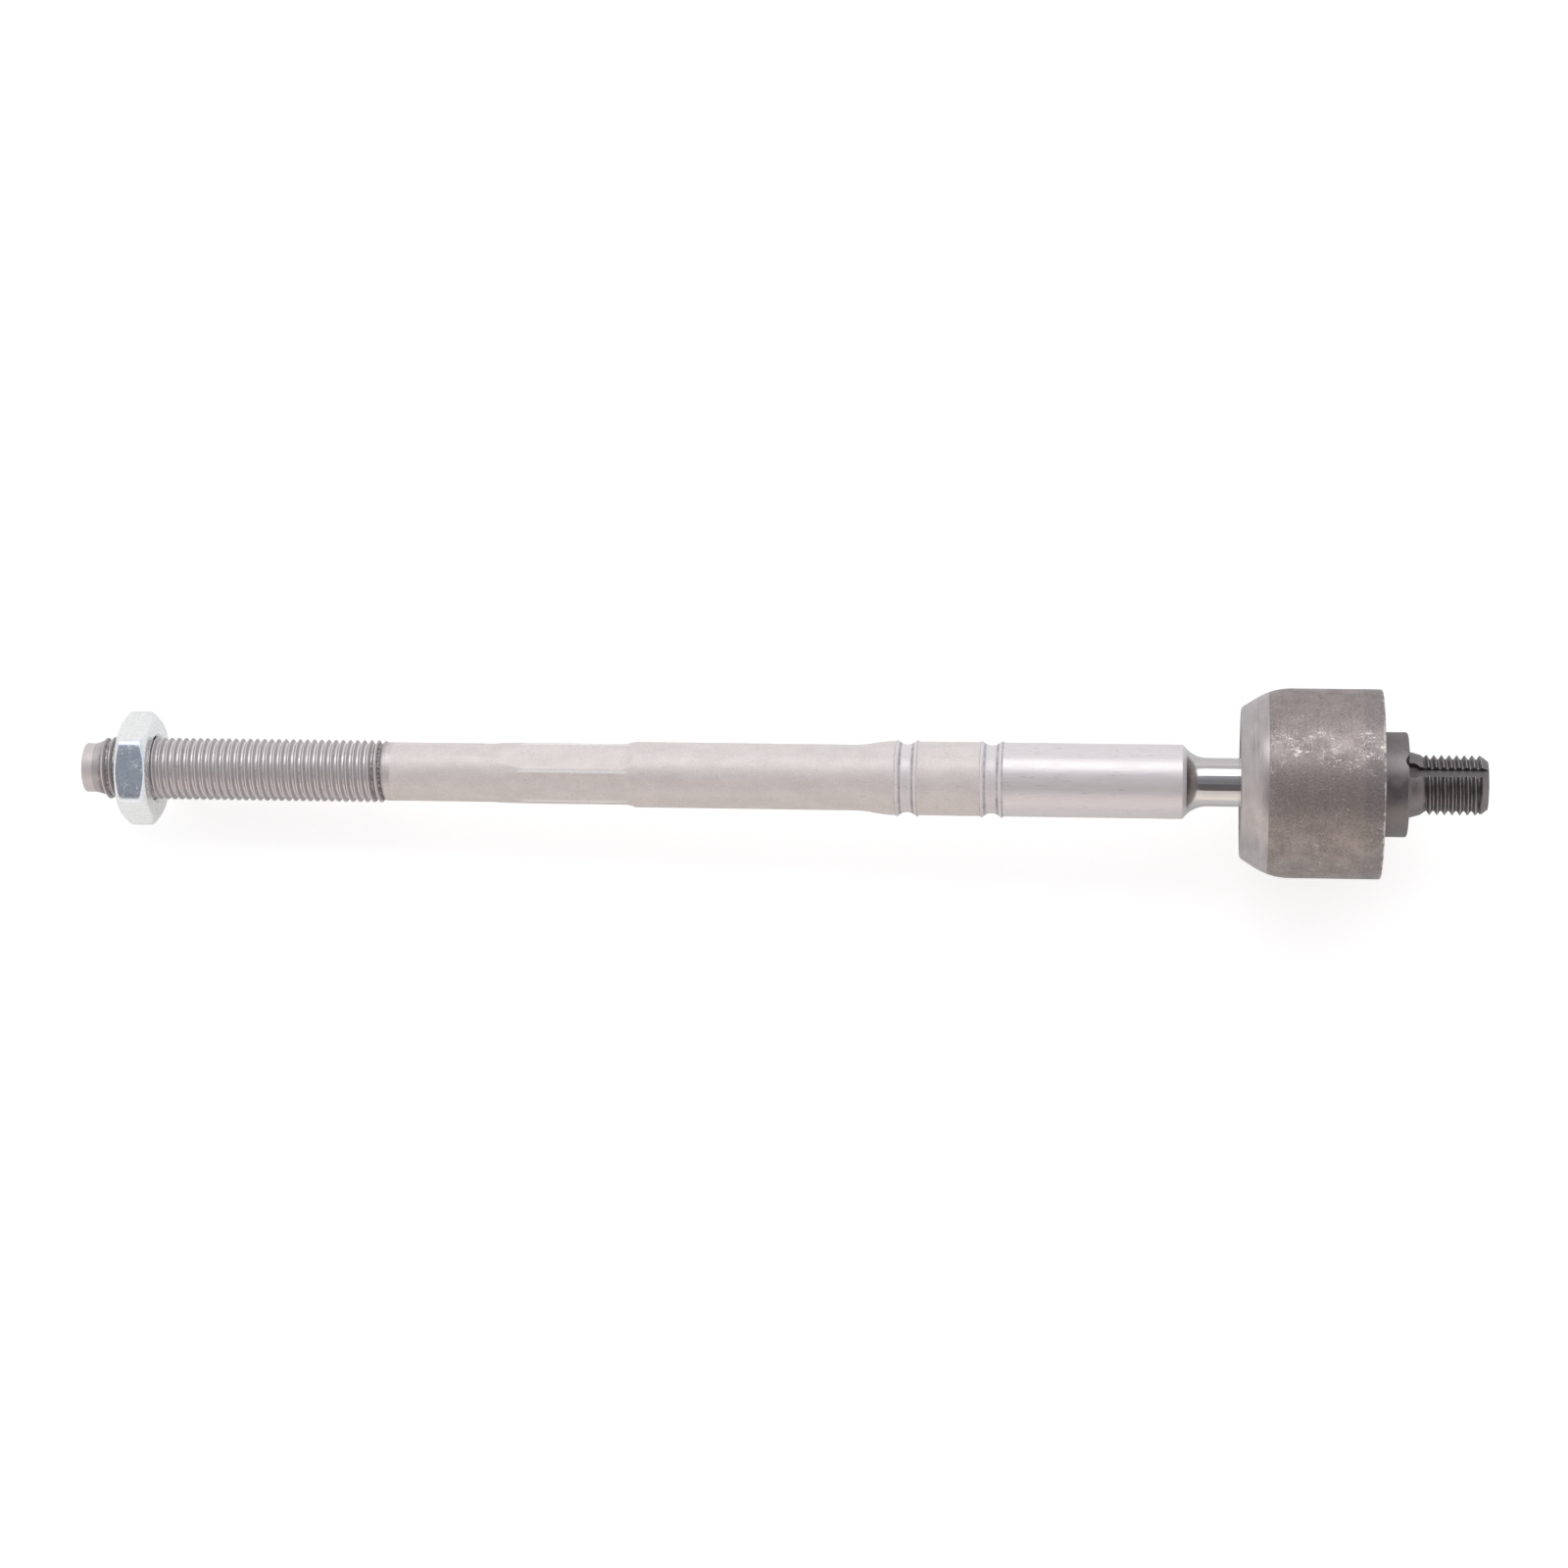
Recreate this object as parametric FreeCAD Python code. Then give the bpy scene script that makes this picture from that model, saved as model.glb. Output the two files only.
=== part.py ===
import FreeCAD, Part
import os
from math import asin, cos, degrees, radians, sin, sqrt, tan

# Inner tie rod, in millimetres.
# Origin: centre of the ball. +X: along the axis, towards the rack. +Z: up, away from the ground
# that the part lies on. Every piece but the nut, the hexagon and the stub's slot is turned about X.
# Threads are plain cylinders at their outer diameter.

# The ball joint
ball_d = 24.0
seat_space = 2.0            # between the ball and the housing, filled by the seat
running_gap = 0.05          # each side of the seat, and between the nut and the thread
tilt_limit = 20.0           # degrees that the rod tilts to each side
tilt_gap = 0.5              # left between the tilted neck and the lip
seat_slots = 6
seat_slot_width = 1.6
seat_slot_depth = 10.0      # along X, from the seat's open edge

# The rod, from the ball outwards: diameters
neck_d = 9.8
body_d = 15.0
taper_drop = 0.8            # radial, from the body to the round shank
flat_depth = 0.625          # of the hexagon's flats, pressed into the round shank
outer_thread_d = 13.0
outer_thread_pitch = 1.5
point_d = 10.1

# The rod, from the ball outwards: lengths
neck_length = 11.5          # from the housing's face to the near end of the body
body_length = 57.9
taper_length = 8.2
shank_length = 44.7
hexagon_length = 22.1
fade_length = 7.0           # cone from the hexagon down to the blank
blank_length = 22.0
outer_thread_length = 56.8
lead_length = 2.7           # cone in front of the thread
point_length = 2.5

# The rod: details
neck_fillet = 3.0           # neck to ball
shoulder_cone = 0.87        # radial height of the 45 degree cone at the body's near end
groove_pitch = 17.1         # middle to middle of the two grooves; the far one ends the body
groove_width = 4.0          # lip to lip
groove_depth = 0.6          # below the body
groove_lip = 0.27           # rolled up above the body
groove_edge = 0.6           # from the middle of each lip out to the body
groove_crest = 0.2          # flat top of each lip
flat_runout_radius = 5.7    # of the tool that ends each flat of the hexagon
hexagon_turn = 7.7          # degrees from +Z towards +Y to one of its corners
thread_runout = 2.0
point_crown = 1.1           # height of the domed end

# The housing
housing_wall = 5.0
floor = 1.4                 # socket's bottom to the housing's back face, on the axis
lip_thickness = 2.3         # along X, at the mouth
lip_drop = 3.9              # radial, from the cylinder to the corner of the front face
lip_edge = 1.0              # radius of that corner
bevel_angle = 32.0          # of the rolled lip, against the axis
roll_radius = 13.0          # bevel to cylinder
mouth_edge = 0.4
back_edge = 0.4
collar_d = 21.0
collar_length = 5.1
collar_fillet = 0.5
collar_edge = 0.4
stub_d = 12.0
stub_root_rise = 0.5        # root cone, above the thread
stub_root_length = 2.5
stub_root_fillet = 0.8
stub_thread_length = 11.8
stub_chamfer = 1.15         # radial
stub_chamfer_length = 1.5
slot_width = 1.9
slot_depth = 1.2
slot_turn = 31.0            # degrees from +Z towards +Y
runout_d = 3.3              # round end of the slot
runout_bite = 0.8           # into the collar's face

# The jam nut
nut_flats = 21.0
nut_thickness = 6.5
nut_inset = 8.8             # rod's outer end to the nut's outer face
nut_chamfer = 1.15          # along X, at the corners
nut_blunt = 0.3             # taken off the corners
nut_countersink = 0.6

# Worked out from the sizes above
ball_r = ball_d / 2
neck_r = neck_d / 2
body_r = body_d / 2
shank_r = body_r - taper_drop
outer_thread_r = outer_thread_d / 2
blank_r = outer_thread_r - 0.325 * outer_thread_pitch     # a thread is rolled from its mean diameter
point_r = point_d / 2
socket_r = ball_r + seat_space
housing_r = socket_r + housing_wall
back_x = socket_r + floor
shoulder_x = back_x + collar_length
stub_r = stub_d / 2


class Outline:
    """Half section of a turned piece, drawn as (x, radius) points from the axis to the axis."""

    def __init__(self, x, r):
        self.start = self.at = (x, r)
        self.edges = []

    def point(self, at):
        return FreeCAD.Vector(at[0], 0, at[1])

    def line(self, x, r):
        self.edges.append(Part.makeLine(self.point(self.at), self.point((x, r))))
        self.at = (x, r)
        return self

    def arc(self, middle, end):
        corners = [self.point(p) for p in (self.at, middle, end)]
        self.edges.append(Part.Arc(*corners).toShape())
        self.at = end
        return self

    def turned(self):
        self.line(*self.start)
        face = Part.Face(Part.Wire(self.edges))
        return face.revolve(FreeCAD.Vector(), FreeCAD.Vector(1, 0, 0), 360)


def turn(shape, angle):
    """The shape turned about X by so many degrees, from +Z towards +Y."""
    copy = shape.copy()
    copy.rotate(FreeCAD.Vector(), FreeCAD.Vector(1, 0, 0), -angle)
    return copy


def on_circle(centre, radius, angle):
    """Point of a circle in the half section. 0 degrees is along +X, 90 away from the axis."""
    return (centre[0] + radius * cos(radians(angle)), centre[1] + radius * sin(radians(angle)))


def neck_fillet_centre():
    """Centre of the circle that joins the neck to the ball, and its direction from the ball."""
    reach = ball_r + neck_fillet
    direction = 180 - degrees(asin((neck_r + neck_fillet) / reach))
    return on_circle((0, 0), reach, direction), direction


def mouth_radius(distance):
    """Radius that the tilted neck needs at this distance in front of the ball's centre."""
    tilt = radians(tilt_limit)
    return distance * tan(tilt) + neck_r / cos(tilt) + tilt_gap


def lip_tip():
    """Distance in front of the ball's centre at which the mouth's cone meets the socket."""
    slope = tan(radians(tilt_limit))
    start = mouth_radius(0)
    a = 1 + slope ** 2
    b = slope * start
    return (sqrt(b ** 2 - a * (start ** 2 - socket_r ** 2)) - b) / a


def rod_stations():
    """Distance from the ball's centre to the far end of each stretch of the rod."""
    lengths = {
        "neck": lip_tip() + lip_thickness + neck_length,
        "body": body_length,
        "taper": taper_length,
        "shank": shank_length,
        "hexagon": hexagon_length,
        "fade": fade_length,
        "blank": blank_length,
        "runout": thread_runout,
        "thread": outer_thread_length,
        "lead": lead_length,
        "point": point_length,
    }
    stations = {}
    reach = 0
    for name, length in lengths.items():
        reach += length
        stations[name] = reach
    return stations


def groove(outline, middle):
    """A rolled boot groove: a round valley between two raised lips with hollow flanks."""
    half = groove_width / 2
    crest_r = body_r + groove_lip
    inside = half - groove_crest / 2
    outside = half + groove_edge
    flank = groove_edge - groove_crest / 2
    radius = (flank ** 2 + groove_lip ** 2) / (2 * groove_lip)
    halfway = degrees(asin(flank / radius)) / 2

    outline.line(middle + outside, body_r)
    outline.arc(on_circle((middle + outside, body_r + radius), radius, -90 - halfway),
                (middle + outside - flank, crest_r))
    outline.line(middle + inside, crest_r)
    outline.arc((middle, body_r - groove_depth), (middle - inside, crest_r))
    outline.line(middle - outside + flank, crest_r)
    outline.arc(on_circle((middle - outside, body_r + radius), radius, -90 + halfway),
                (middle - outside, body_r))


def ball_and_neck(ends):
    """The rod's outline from the ball's pole to the near end of the body."""
    fillet_centre, direction = neck_fillet_centre()
    outline = Outline(ball_r, 0)
    outline.arc((0, ball_r), on_circle((0, 0), ball_r, direction))
    halfway = (direction - 180 - 90) / 2        # between the ball and the neck
    outline.arc(on_circle(fillet_centre, neck_fillet, halfway), (fillet_centre[0], neck_r))

    drop = body_r - neck_r
    cone = min(shoulder_cone, drop / 2)
    radius = (drop - cone) / (1 - cos(radians(45)))
    centre = (cone - ends["neck"] + radius * sin(radians(45)), neck_r + radius)
    outline.line(centre[0], neck_r)
    outline.arc(on_circle(centre, radius, -112.5), on_circle(centre, radius, -135))
    outline.line(-ends["neck"], body_r)
    return outline


def body_and_taper(outline, ends):
    """The body with its two boot grooves, and the taper: two arcs that meet halfway."""
    far_groove = groove_width / 2 + groove_edge - ends["body"]
    groove(outline, far_groove + groove_pitch)
    groove(outline, far_groove)

    half_drop = taper_drop / 2
    half_length = taper_length / 2
    radius = (half_length ** 2 + half_drop ** 2) / (2 * half_drop)
    halfway = degrees(asin(half_length / radius)) / 2
    outline.arc(on_circle((-ends["body"], body_r - radius), radius, 90 + halfway),
                (half_length - ends["taper"], body_r - half_drop))
    outline.arc(on_circle((-ends["taper"], shank_r + radius), radius, -90 + halfway),
                (-ends["taper"], shank_r))


def shank_and_thread(outline, ends):
    """From the round shank to the rod's outer end."""
    outline.line(-ends["hexagon"], shank_r)
    outline.line(-ends["fade"], blank_r)
    outline.line(-ends["blank"], blank_r)
    outline.line(-ends["runout"], outer_thread_r)
    outline.line(-ends["thread"], outer_thread_r)
    outline.line(-ends["lead"], point_r)
    outline.line(point_crown - ends["point"], point_r)
    crown_radius = (point_r ** 2 + point_crown ** 2) / (2 * point_crown)
    halfway = 180 - degrees(asin(point_r / crown_radius)) / 2
    outline.arc(on_circle((crown_radius - ends["point"], 0), crown_radius, halfway), (-ends["point"], 0))


def hexagon_cutters(ends):
    """Six tools that press the flats. Each is flat along the hexagon and round at both ends."""
    radius = flat_runout_radius
    flat = shank_r - flat_depth
    runout = sqrt(radius ** 2 - (radius - flat_depth) ** 2)
    near = (-ends["shank"] - runout, flat + radius)
    far = (-ends["fade"], flat + radius)

    outline = Outline(far[0] - radius, far[1])
    outline.arc(on_circle(far, radius, -135), (far[0], flat))
    outline.line(near[0], flat)
    outline.arc(on_circle(near, radius, -45), (near[0] + radius, near[1]))
    outline.line(*outline.start)
    side = Part.Face(Part.Wire(outline.edges))
    side.translate(FreeCAD.Vector(0, -body_d, 0))
    cutter = side.extrude(FreeCAD.Vector(0, 2 * body_d, 0))
    return [turn(cutter, hexagon_turn + 30 + 60 * n) for n in range(6)]


def tie_rod():
    ends = rod_stations()
    outline = ball_and_neck(ends)
    body_and_taper(outline, ends)
    shank_and_thread(outline, ends)
    return outline.turned().cut(hexagon_cutters(ends))


def cup():
    """The housing's outline round the socket, from the lip's mouth to the collar."""
    tip = lip_tip()
    front = tip + lip_thickness
    face_r = housing_r - lip_drop
    bevel = radians(bevel_angle)

    outline = Outline(socket_r, 0)
    outline.arc((0, socket_r), (-tip, mouth_radius(tip)))
    outline.line(-front + mouth_edge, mouth_radius(front - mouth_edge))
    outline.line(-front, mouth_radius(front - mouth_edge) + mouth_edge)
    corner_centre = (lip_edge - front, face_r - lip_edge * tan((radians(90) - bevel) / 2))
    outline.line(-front, corner_centre[1])
    outline.arc(on_circle(corner_centre, lip_edge, 135 + bevel_angle / 2),
                on_circle(corner_centre, lip_edge, 90 + bevel_angle))

    roll_drop = roll_radius * (1 - cos(bevel))
    roll_x = -front + (lip_drop - roll_drop) / tan(bevel)
    roll_end = roll_x + roll_radius * sin(bevel)
    outline.line(roll_x, housing_r - roll_drop)
    roll_centre = (roll_end, housing_r - roll_radius)
    outline.arc(on_circle(roll_centre, roll_radius, 90 + bevel_angle / 2), (roll_end, housing_r))
    outline.line(back_x - back_edge, housing_r)
    outline.arc(on_circle((back_x - back_edge, housing_r - back_edge), back_edge, 45),
                (back_x, housing_r - back_edge))
    return outline


def collar_and_stub(outline):
    """The collar that seats on the rack, and the stub that screws into it."""
    collar_r = collar_d / 2
    outline.line(back_x, collar_r + collar_fillet)
    outline.arc(on_circle((back_x + collar_fillet, collar_r + collar_fillet), collar_fillet, -135),
                (back_x + collar_fillet, collar_r))
    outline.line(shoulder_x - collar_edge, collar_r)
    outline.line(shoulder_x, collar_r - collar_edge)
    root_r = stub_r + stub_root_rise
    root_centre = (shoulder_x + stub_root_fillet, root_r + stub_root_fillet)
    outline.line(shoulder_x, root_centre[1])
    outline.arc(on_circle(root_centre, stub_root_fillet, -135), (root_centre[0], root_r))
    thread_x = shoulder_x + stub_root_length
    outline.line(thread_x, stub_r)
    outline.line(thread_x + stub_thread_length, stub_r)
    end_x = thread_x + stub_thread_length + stub_chamfer_length
    outline.line(end_x, stub_r - stub_chamfer)
    outline.line(end_x, 0)
    return end_x


def slot_cutter(end_x):
    """The slot along the stub, with the round run-out that bites into the collar's face."""
    bottom = stub_r - slot_depth
    height = collar_d
    centre_x = shoulder_x - runout_bite + runout_d / 2
    corner = FreeCAD.Vector(centre_x, -slot_width / 2, bottom)
    slot = Part.makeBox(end_x - centre_x + slot_depth, slot_width, height, corner)
    runout = Part.makeCylinder(runout_d / 2, height, FreeCAD.Vector(centre_x, 0, bottom))
    return turn(slot.fuse(runout), slot_turn)


def housing():
    outline = cup()
    end_x = collar_and_stub(outline)
    return outline.turned().cut(slot_cutter(end_x))


def ball_seat():
    """The bearing shell: open in front as far as the tilted neck and its fillet reach."""
    inner = ball_r + running_gap
    outer = socket_r - running_gap
    direction = neck_fillet_centre()[1]
    open_angle = 180 - direction + tilt_limit
    front = inner * cos(radians(open_angle)) - tilt_gap

    outline = Outline(outer, 0)
    outline.arc((0, outer), (-front, sqrt(outer ** 2 - front ** 2)))
    outline.line(-front, sqrt(inner ** 2 - front ** 2))
    outline.arc((0, inner), (inner, 0))
    shell = outline.turned()

    corner = FreeCAD.Vector(-front - seat_slot_width, -seat_slot_width / 2, 0)
    slot = Part.makeBox(seat_slot_depth + seat_slot_width, seat_slot_width, 2 * outer, corner)
    return shell.cut([turn(slot, 360 * n / seat_slots) for n in range(seat_slots)])


def jam_nut():
    """Hexagon nut, flats up and down, chamfered at both faces."""
    outer_x = nut_inset - rod_stations()["point"]
    inner_x = outer_x + nut_thickness
    corner_r = nut_flats / sqrt(3)
    corners = [FreeCAD.Vector(outer_x, *on_circle((0, 0), corner_r, 60 * n)) for n in range(7)]
    prism = Part.Face(Part.makePolygon(corners)).extrude(FreeCAD.Vector(nut_thickness, 0, 0))

    bore = outer_thread_r + running_gap
    blunt_r = corner_r - nut_blunt
    face_r = corner_r - nut_chamfer / tan(radians(30))
    slant = (blunt_r - face_r) * tan(radians(30))
    outline = Outline(outer_x, bore + nut_countersink)
    outline.line(outer_x, face_r)
    outline.line(outer_x + slant, blunt_r)
    outline.line(inner_x - slant, blunt_r)
    outline.line(inner_x, face_r)
    outline.line(inner_x, bore + nut_countersink)
    outline.line(inner_x - nut_countersink, bore)
    outline.line(outer_x + nut_countersink, bore)
    return prism.common(outline.turned())


def main():
    os.makedirs("parts", exist_ok=True)
    pieces = {
        "tie_rod": tie_rod(),
        "housing": housing(),
        "ball_seat": ball_seat(),
        "jam_nut": jam_nut(),
    }
    for name, shape in pieces.items():
        shape.exportStep("parts/" + name + ".step")
        box = shape.BoundBox
        print(name, "x", round(box.XMin, 2), "to", round(box.XMax, 2),
              "volume", round(shape.Volume), "mm3, valid:", shape.isValid())


main()
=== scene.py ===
# %% [markdown]
# Inner tie rod: a lesson in turned and rolled steel
#
# An inner tie rod joins the steering rack to the outer tie rod. Its ball sits in a polymer seat in
# a forged housing, whose front edge is rolled over the ball. Almost everything on it is turned, so
# almost everything here is an outline carried round one axis. The exceptions are what makes it
# interesting: two rolled threads, a pressed wrench hexagon, a hexagon nut and a slot in the stub.
# The lesson makes each of them as arrays of points with numpy, then gives each its own steel.

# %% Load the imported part
import bpy
import numpy as np
from mathutils import Matrix, Vector


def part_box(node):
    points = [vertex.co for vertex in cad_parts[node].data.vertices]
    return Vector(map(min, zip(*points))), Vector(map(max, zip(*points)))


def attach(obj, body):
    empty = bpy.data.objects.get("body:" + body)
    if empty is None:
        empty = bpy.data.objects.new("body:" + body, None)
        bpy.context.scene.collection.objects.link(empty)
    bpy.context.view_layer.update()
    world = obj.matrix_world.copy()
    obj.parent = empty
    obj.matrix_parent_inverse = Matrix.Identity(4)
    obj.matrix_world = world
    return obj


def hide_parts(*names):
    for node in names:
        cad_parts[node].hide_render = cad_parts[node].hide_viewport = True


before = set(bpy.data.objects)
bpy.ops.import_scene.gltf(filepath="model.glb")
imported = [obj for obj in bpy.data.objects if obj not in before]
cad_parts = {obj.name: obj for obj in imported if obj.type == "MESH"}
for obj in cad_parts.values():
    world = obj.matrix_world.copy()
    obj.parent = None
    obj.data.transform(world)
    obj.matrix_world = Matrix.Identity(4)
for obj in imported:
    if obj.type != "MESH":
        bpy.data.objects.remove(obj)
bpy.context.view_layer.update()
print("nodes:", sorted(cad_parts))

# %% [markdown]
# Every size is in millimetres, and one factor turns it into Blender's metres at the end. The
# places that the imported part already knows, such as where the rod ends and how thick the nut is,
# are read from it. The rest are the sizes that a turner would need for the same piece.

# %% Places read from the part, and the sizes beside them
MM = 0.001

rod_low, rod_high = (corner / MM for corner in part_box("tie_rod"))
cup_low, cup_high = (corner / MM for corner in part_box("housing"))
nut_low, nut_high = (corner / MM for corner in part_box("jam_nut"))

rod_end = rod_low.x
ball_r = rod_high.x
lip_x, stub_end = cup_low.x, cup_high.x
cup_r = cup_high.z
nut_outer, nut_inner = nut_low.x, nut_high.x
nut_half_flats = nut_high.z
print("rod end", round(rod_end, 2), "ball radius", round(ball_r, 2), "cup radius", round(cup_r, 2))

# %% [markdown]
# All turned pieces share one small set of tools. An outline is a list of (x, radius) points made
# of straight runs and arcs, so that a round stretch is round however many points it has. Spin or
# Screw modifiers could carry it round the axis too, but plain arrays also let the radius change
# with the angle, which the hexagon and the threads need.

# %% Outline tools
TURN = 2 * np.pi


def all_round(columns, first=0.0):
    """Angles of the columns, from +Z towards +Y, evenly spaced from the first one."""
    return first + TURN * np.arange(columns) / columns


def arc(centre, radius, start, end, steps=12):
    """Points of a circle: centre plus radius times (cosine, sine), from start to end in degrees."""
    swept = np.radians(np.linspace(start, end, steps + 1))
    return np.stack([centre[0] + radius * np.cos(swept), centre[1] + radius * np.sin(swept)], axis=1)


def run(start, end, steps=1):
    """Straight stretch: start plus a share of the way to end."""
    share = np.linspace(0, 1, steps + 1)[:, None]
    return np.array(start) * (1 - share) + np.array(end) * share


def outline(*stretches):
    """The stretches in a row, with a point that repeats the one before it left out."""
    points = np.concatenate([np.atleast_2d(stretch) for stretch in stretches])
    step = np.linalg.norm(np.diff(points, axis=0), axis=1)
    return points[np.concatenate([[True], step > 1e-4])]


def carried(x, r, angles):
    """Row i, column j: x[i] along the axis and r[i, j] away from it, turned from +Z towards +Y."""
    x, r, angle = np.broadcast_arrays(x, r, angles)
    return np.stack([x, r * np.sin(angle), r * np.cos(angle)], axis=-1)


def soft_min(sharpness, *radii):
    """Smallest of several radii with the corner between them eased: a negative power mean."""
    smallest = np.minimum.reduce(np.broadcast_arrays(*radii))
    total = sum((smallest / radius) ** sharpness for radius in radii)
    return smallest * total ** (-1 / sharpness)


def six_flats(angles, first, half_width):
    """Reach of six flats at each angle: half the width over the cosine from the flat's middle."""
    facing = np.cos(angles - (first + TURN * np.arange(6) / 6)[:, None])
    # Past 60 degrees from its middle a flat no longer counts, because another one is nearer
    return [half_width / np.maximum(cosine, 0.5) for cosine in facing]


# %% [markdown]
# A skin gathers grids of points and joins neighbouring rows with four-sided faces. Each grid of
# points comes back as a grid of numbers, so joining two rows is only slicing and rolling arrays.
# Rows run towards -X on the outside, which makes every face point outwards without recalculating.
# For the shading, the Weighted Normal modifier lets the large faces decide, so a long cylinder
# stays straight right up to the small round edge beside it.

# %% Skin: grids of points that become one closed mesh
SHARP = 42


class Skin:
    """Points, faces and the finish of each face, gathered as arrays."""

    def __init__(self):
        self.points, self.faces, self.finishes = [], [], []
        self.count = 0

    def grid(self, points):
        """Keeps the points and gives their numbers, in the same rows and columns."""
        shape = points.shape[:-1]
        numbers = self.count + np.arange(np.prod(shape)).reshape(shape)
        self.points.append(points.reshape(-1, 3))
        self.count += numbers.size
        return numbers

    def spun(self, points, angles):
        """Grid of an outline, which is a list of (x, radius) points, carried round the axis."""
        return self.grid(carried(points[:, :1], points[:, 1:], angles))

    def quads(self, a, b, c, d, finish):
        """Four-sided faces. Each has the same entry of the four grids of numbers as its corners."""
        faces = np.stack([a, b, c, d], axis=-1).reshape(-1, 4)
        self.faces += faces.tolist()
        self.finishes.append(np.broadcast_to(finish, a.shape).reshape(-1))

    def polygon(self, corners, finish):
        """One flat face with as many sides as it has corners."""
        self.faces.append([int(corner) for corner in corners])
        self.finishes.append([finish])

    def rows(self, numbers, finish):
        """Faces between each row and the next, all the way round. finish has one value a row."""
        beside = np.roll(numbers, -1, axis=1)
        per_row = np.broadcast_to(np.asarray(finish).reshape(-1, 1), numbers[1:].shape)
        self.quads(numbers[:-1], beside[:-1], beside[1:], numbers[1:], per_row)

    def mesh(self, name, materials):
        """The finished piece: its points in metres, and the number of a material on each face."""
        data = bpy.data.meshes.new(name)
        data.from_pydata(np.concatenate(self.points) * MM, [], self.faces)
        for material in materials:
            data.materials.append(material)
        data.polygons.foreach_set("material_index", np.concatenate(self.finishes).astype(np.int32))
        piece = bpy.data.objects.new(name, data)
        bpy.context.scene.collection.objects.link(piece)
        print(name, "has", len(data.polygons), "faces")
        return piece


def shade(piece):
    """Smooth shading up to SHARP degrees, with small faces bending to suit the large ones."""
    piece.data.shade_smooth()
    piece.data.set_sharp_from_angle(angle=np.radians(SHARP))
    weighted = piece.modifiers.new("weighted_normals", "WEIGHTED_NORMAL")
    weighted.keep_sharp = True


# %% [markdown]
# A metric thread is a 60 degree groove wound round the bar. If its grid kept flat rows, every
# crest would cross the rows and look like a saw. So the rows here are wound too: each one climbs
# by a pitch in a turn and meets the row one pitch on. The crests are then mesh edges all the way.
# Only the first and last rows need care, where a many-sided face closes the step of one pitch.
# The columns start underneath, so that step is out of sight. first_x is where the winding starts
# on top, half a turn on, and skipped leaves out that many rows at its start.

# %% Wound thread
THREAD_PITCH = 1.5
THREAD_DEPTH = 0.54 * THREAD_PITCH
# Share of the pitch, and share of the depth below the crest: root, flank, crest, flank
thread_form = np.array([
    (0.00, 1.00), (0.09, 0.985), (0.14, 0.88), (0.435, 0.08), (0.47, 0.00),
    (0.53, 0.00), (0.565, 0.08), (0.86, 0.88), (0.91, 0.985),
])


def wound_rows(first_x, turns, crest_r, angles, shaped, skipped=0):
    """Wound grid: x falls by a pitch a turn, and the radius is the thread form, then shaped(x, r)."""
    steps = np.concatenate([np.repeat(np.arange(turns), len(thread_form)), [turns]])
    form = np.concatenate([np.tile(thread_form, (turns, 1)), thread_form[:1]])
    steps, form = steps[skipped:], form[skipped:]
    climb = (steps + form[:, 0])[:, None] + (angles - angles[0]) / TURN - 0.5
    x = first_x - climb * THREAD_PITCH
    r = crest_r - THREAD_DEPTH * form[:, 1][:, None]
    return carried(x, shaped(x, np.broadcast_to(r, x.shape)), angles)


def wind_thread(skin, before, wound, after, finish):
    """Joins a flat row, a wound grid and another flat row into one skin."""
    pitch_rows = len(thread_form)
    last = len(wound) - 1
    a, b = wound[:-1, :-1], wound[:-1, 1:]
    skin.quads(a, b, wound[1:, 1:], wound[1:, :-1], finish)
    seam = wound[:last - pitch_rows, -1]
    partner = wound[pitch_rows:last, 0]
    skin.quads(seam, partner, wound[pitch_rows + 1:, 0], wound[1:last - pitch_rows + 1, -1], finish)

    skin.quads(before[:-1], before[1:], wound[0, 1:], wound[0, :-1], finish)
    skin.polygon([before[-1], before[0], *wound[:pitch_rows + 1, 0], wound[0, -1]], finish)
    skin.quads(wound[-1, :-1], wound[-1, 1:], after[1:], after[:-1], finish)
    tail = wound[last - pitch_rows:, -1][::-1]
    skin.polygon([tail[-1], wound[-1, 0], after[0], after[-1], *tail[:-1]], finish)


# %% [markdown]
# The rod starts as the ball, narrows to a machined neck, and widens to the cylinder that carries
# the rack boot. The boot's clip sits in one of two rolled grooves. Rolling pushes metal aside, so
# each groove has a raised lip on both sides, and those two thin lips are what catches the light.

# %% Rod, from the ball to the round shank
# Degrees from the axis at which the rows of a sphere stop and one flat face closes it
POLE = 2
neck_r, body_r, shank_r = 4.9, 7.5, 6.7
# A thread is rolled from a bar of its mean diameter, 0.325 of a pitch inside the nominal radius
nominal_r = 6.5
blank_r = nominal_r - 0.325 * THREAD_PITCH
neck_fillet = 3.0
body_near = rod_end + 225.9
body_far = body_near - 57.9
taper_far = body_far - 8.2
shank_far = taper_far - 44.7
front_far = shank_far + 0.6
groove_pitch, groove_half, groove_flank, groove_crest = 17.1, 2.0, 0.6, 0.2
groove_depth, groove_lip, groove_round = 0.6, 0.27, 0.03
far_groove = body_far + groove_half + groove_flank
near_groove = far_groove + groove_pitch


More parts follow.
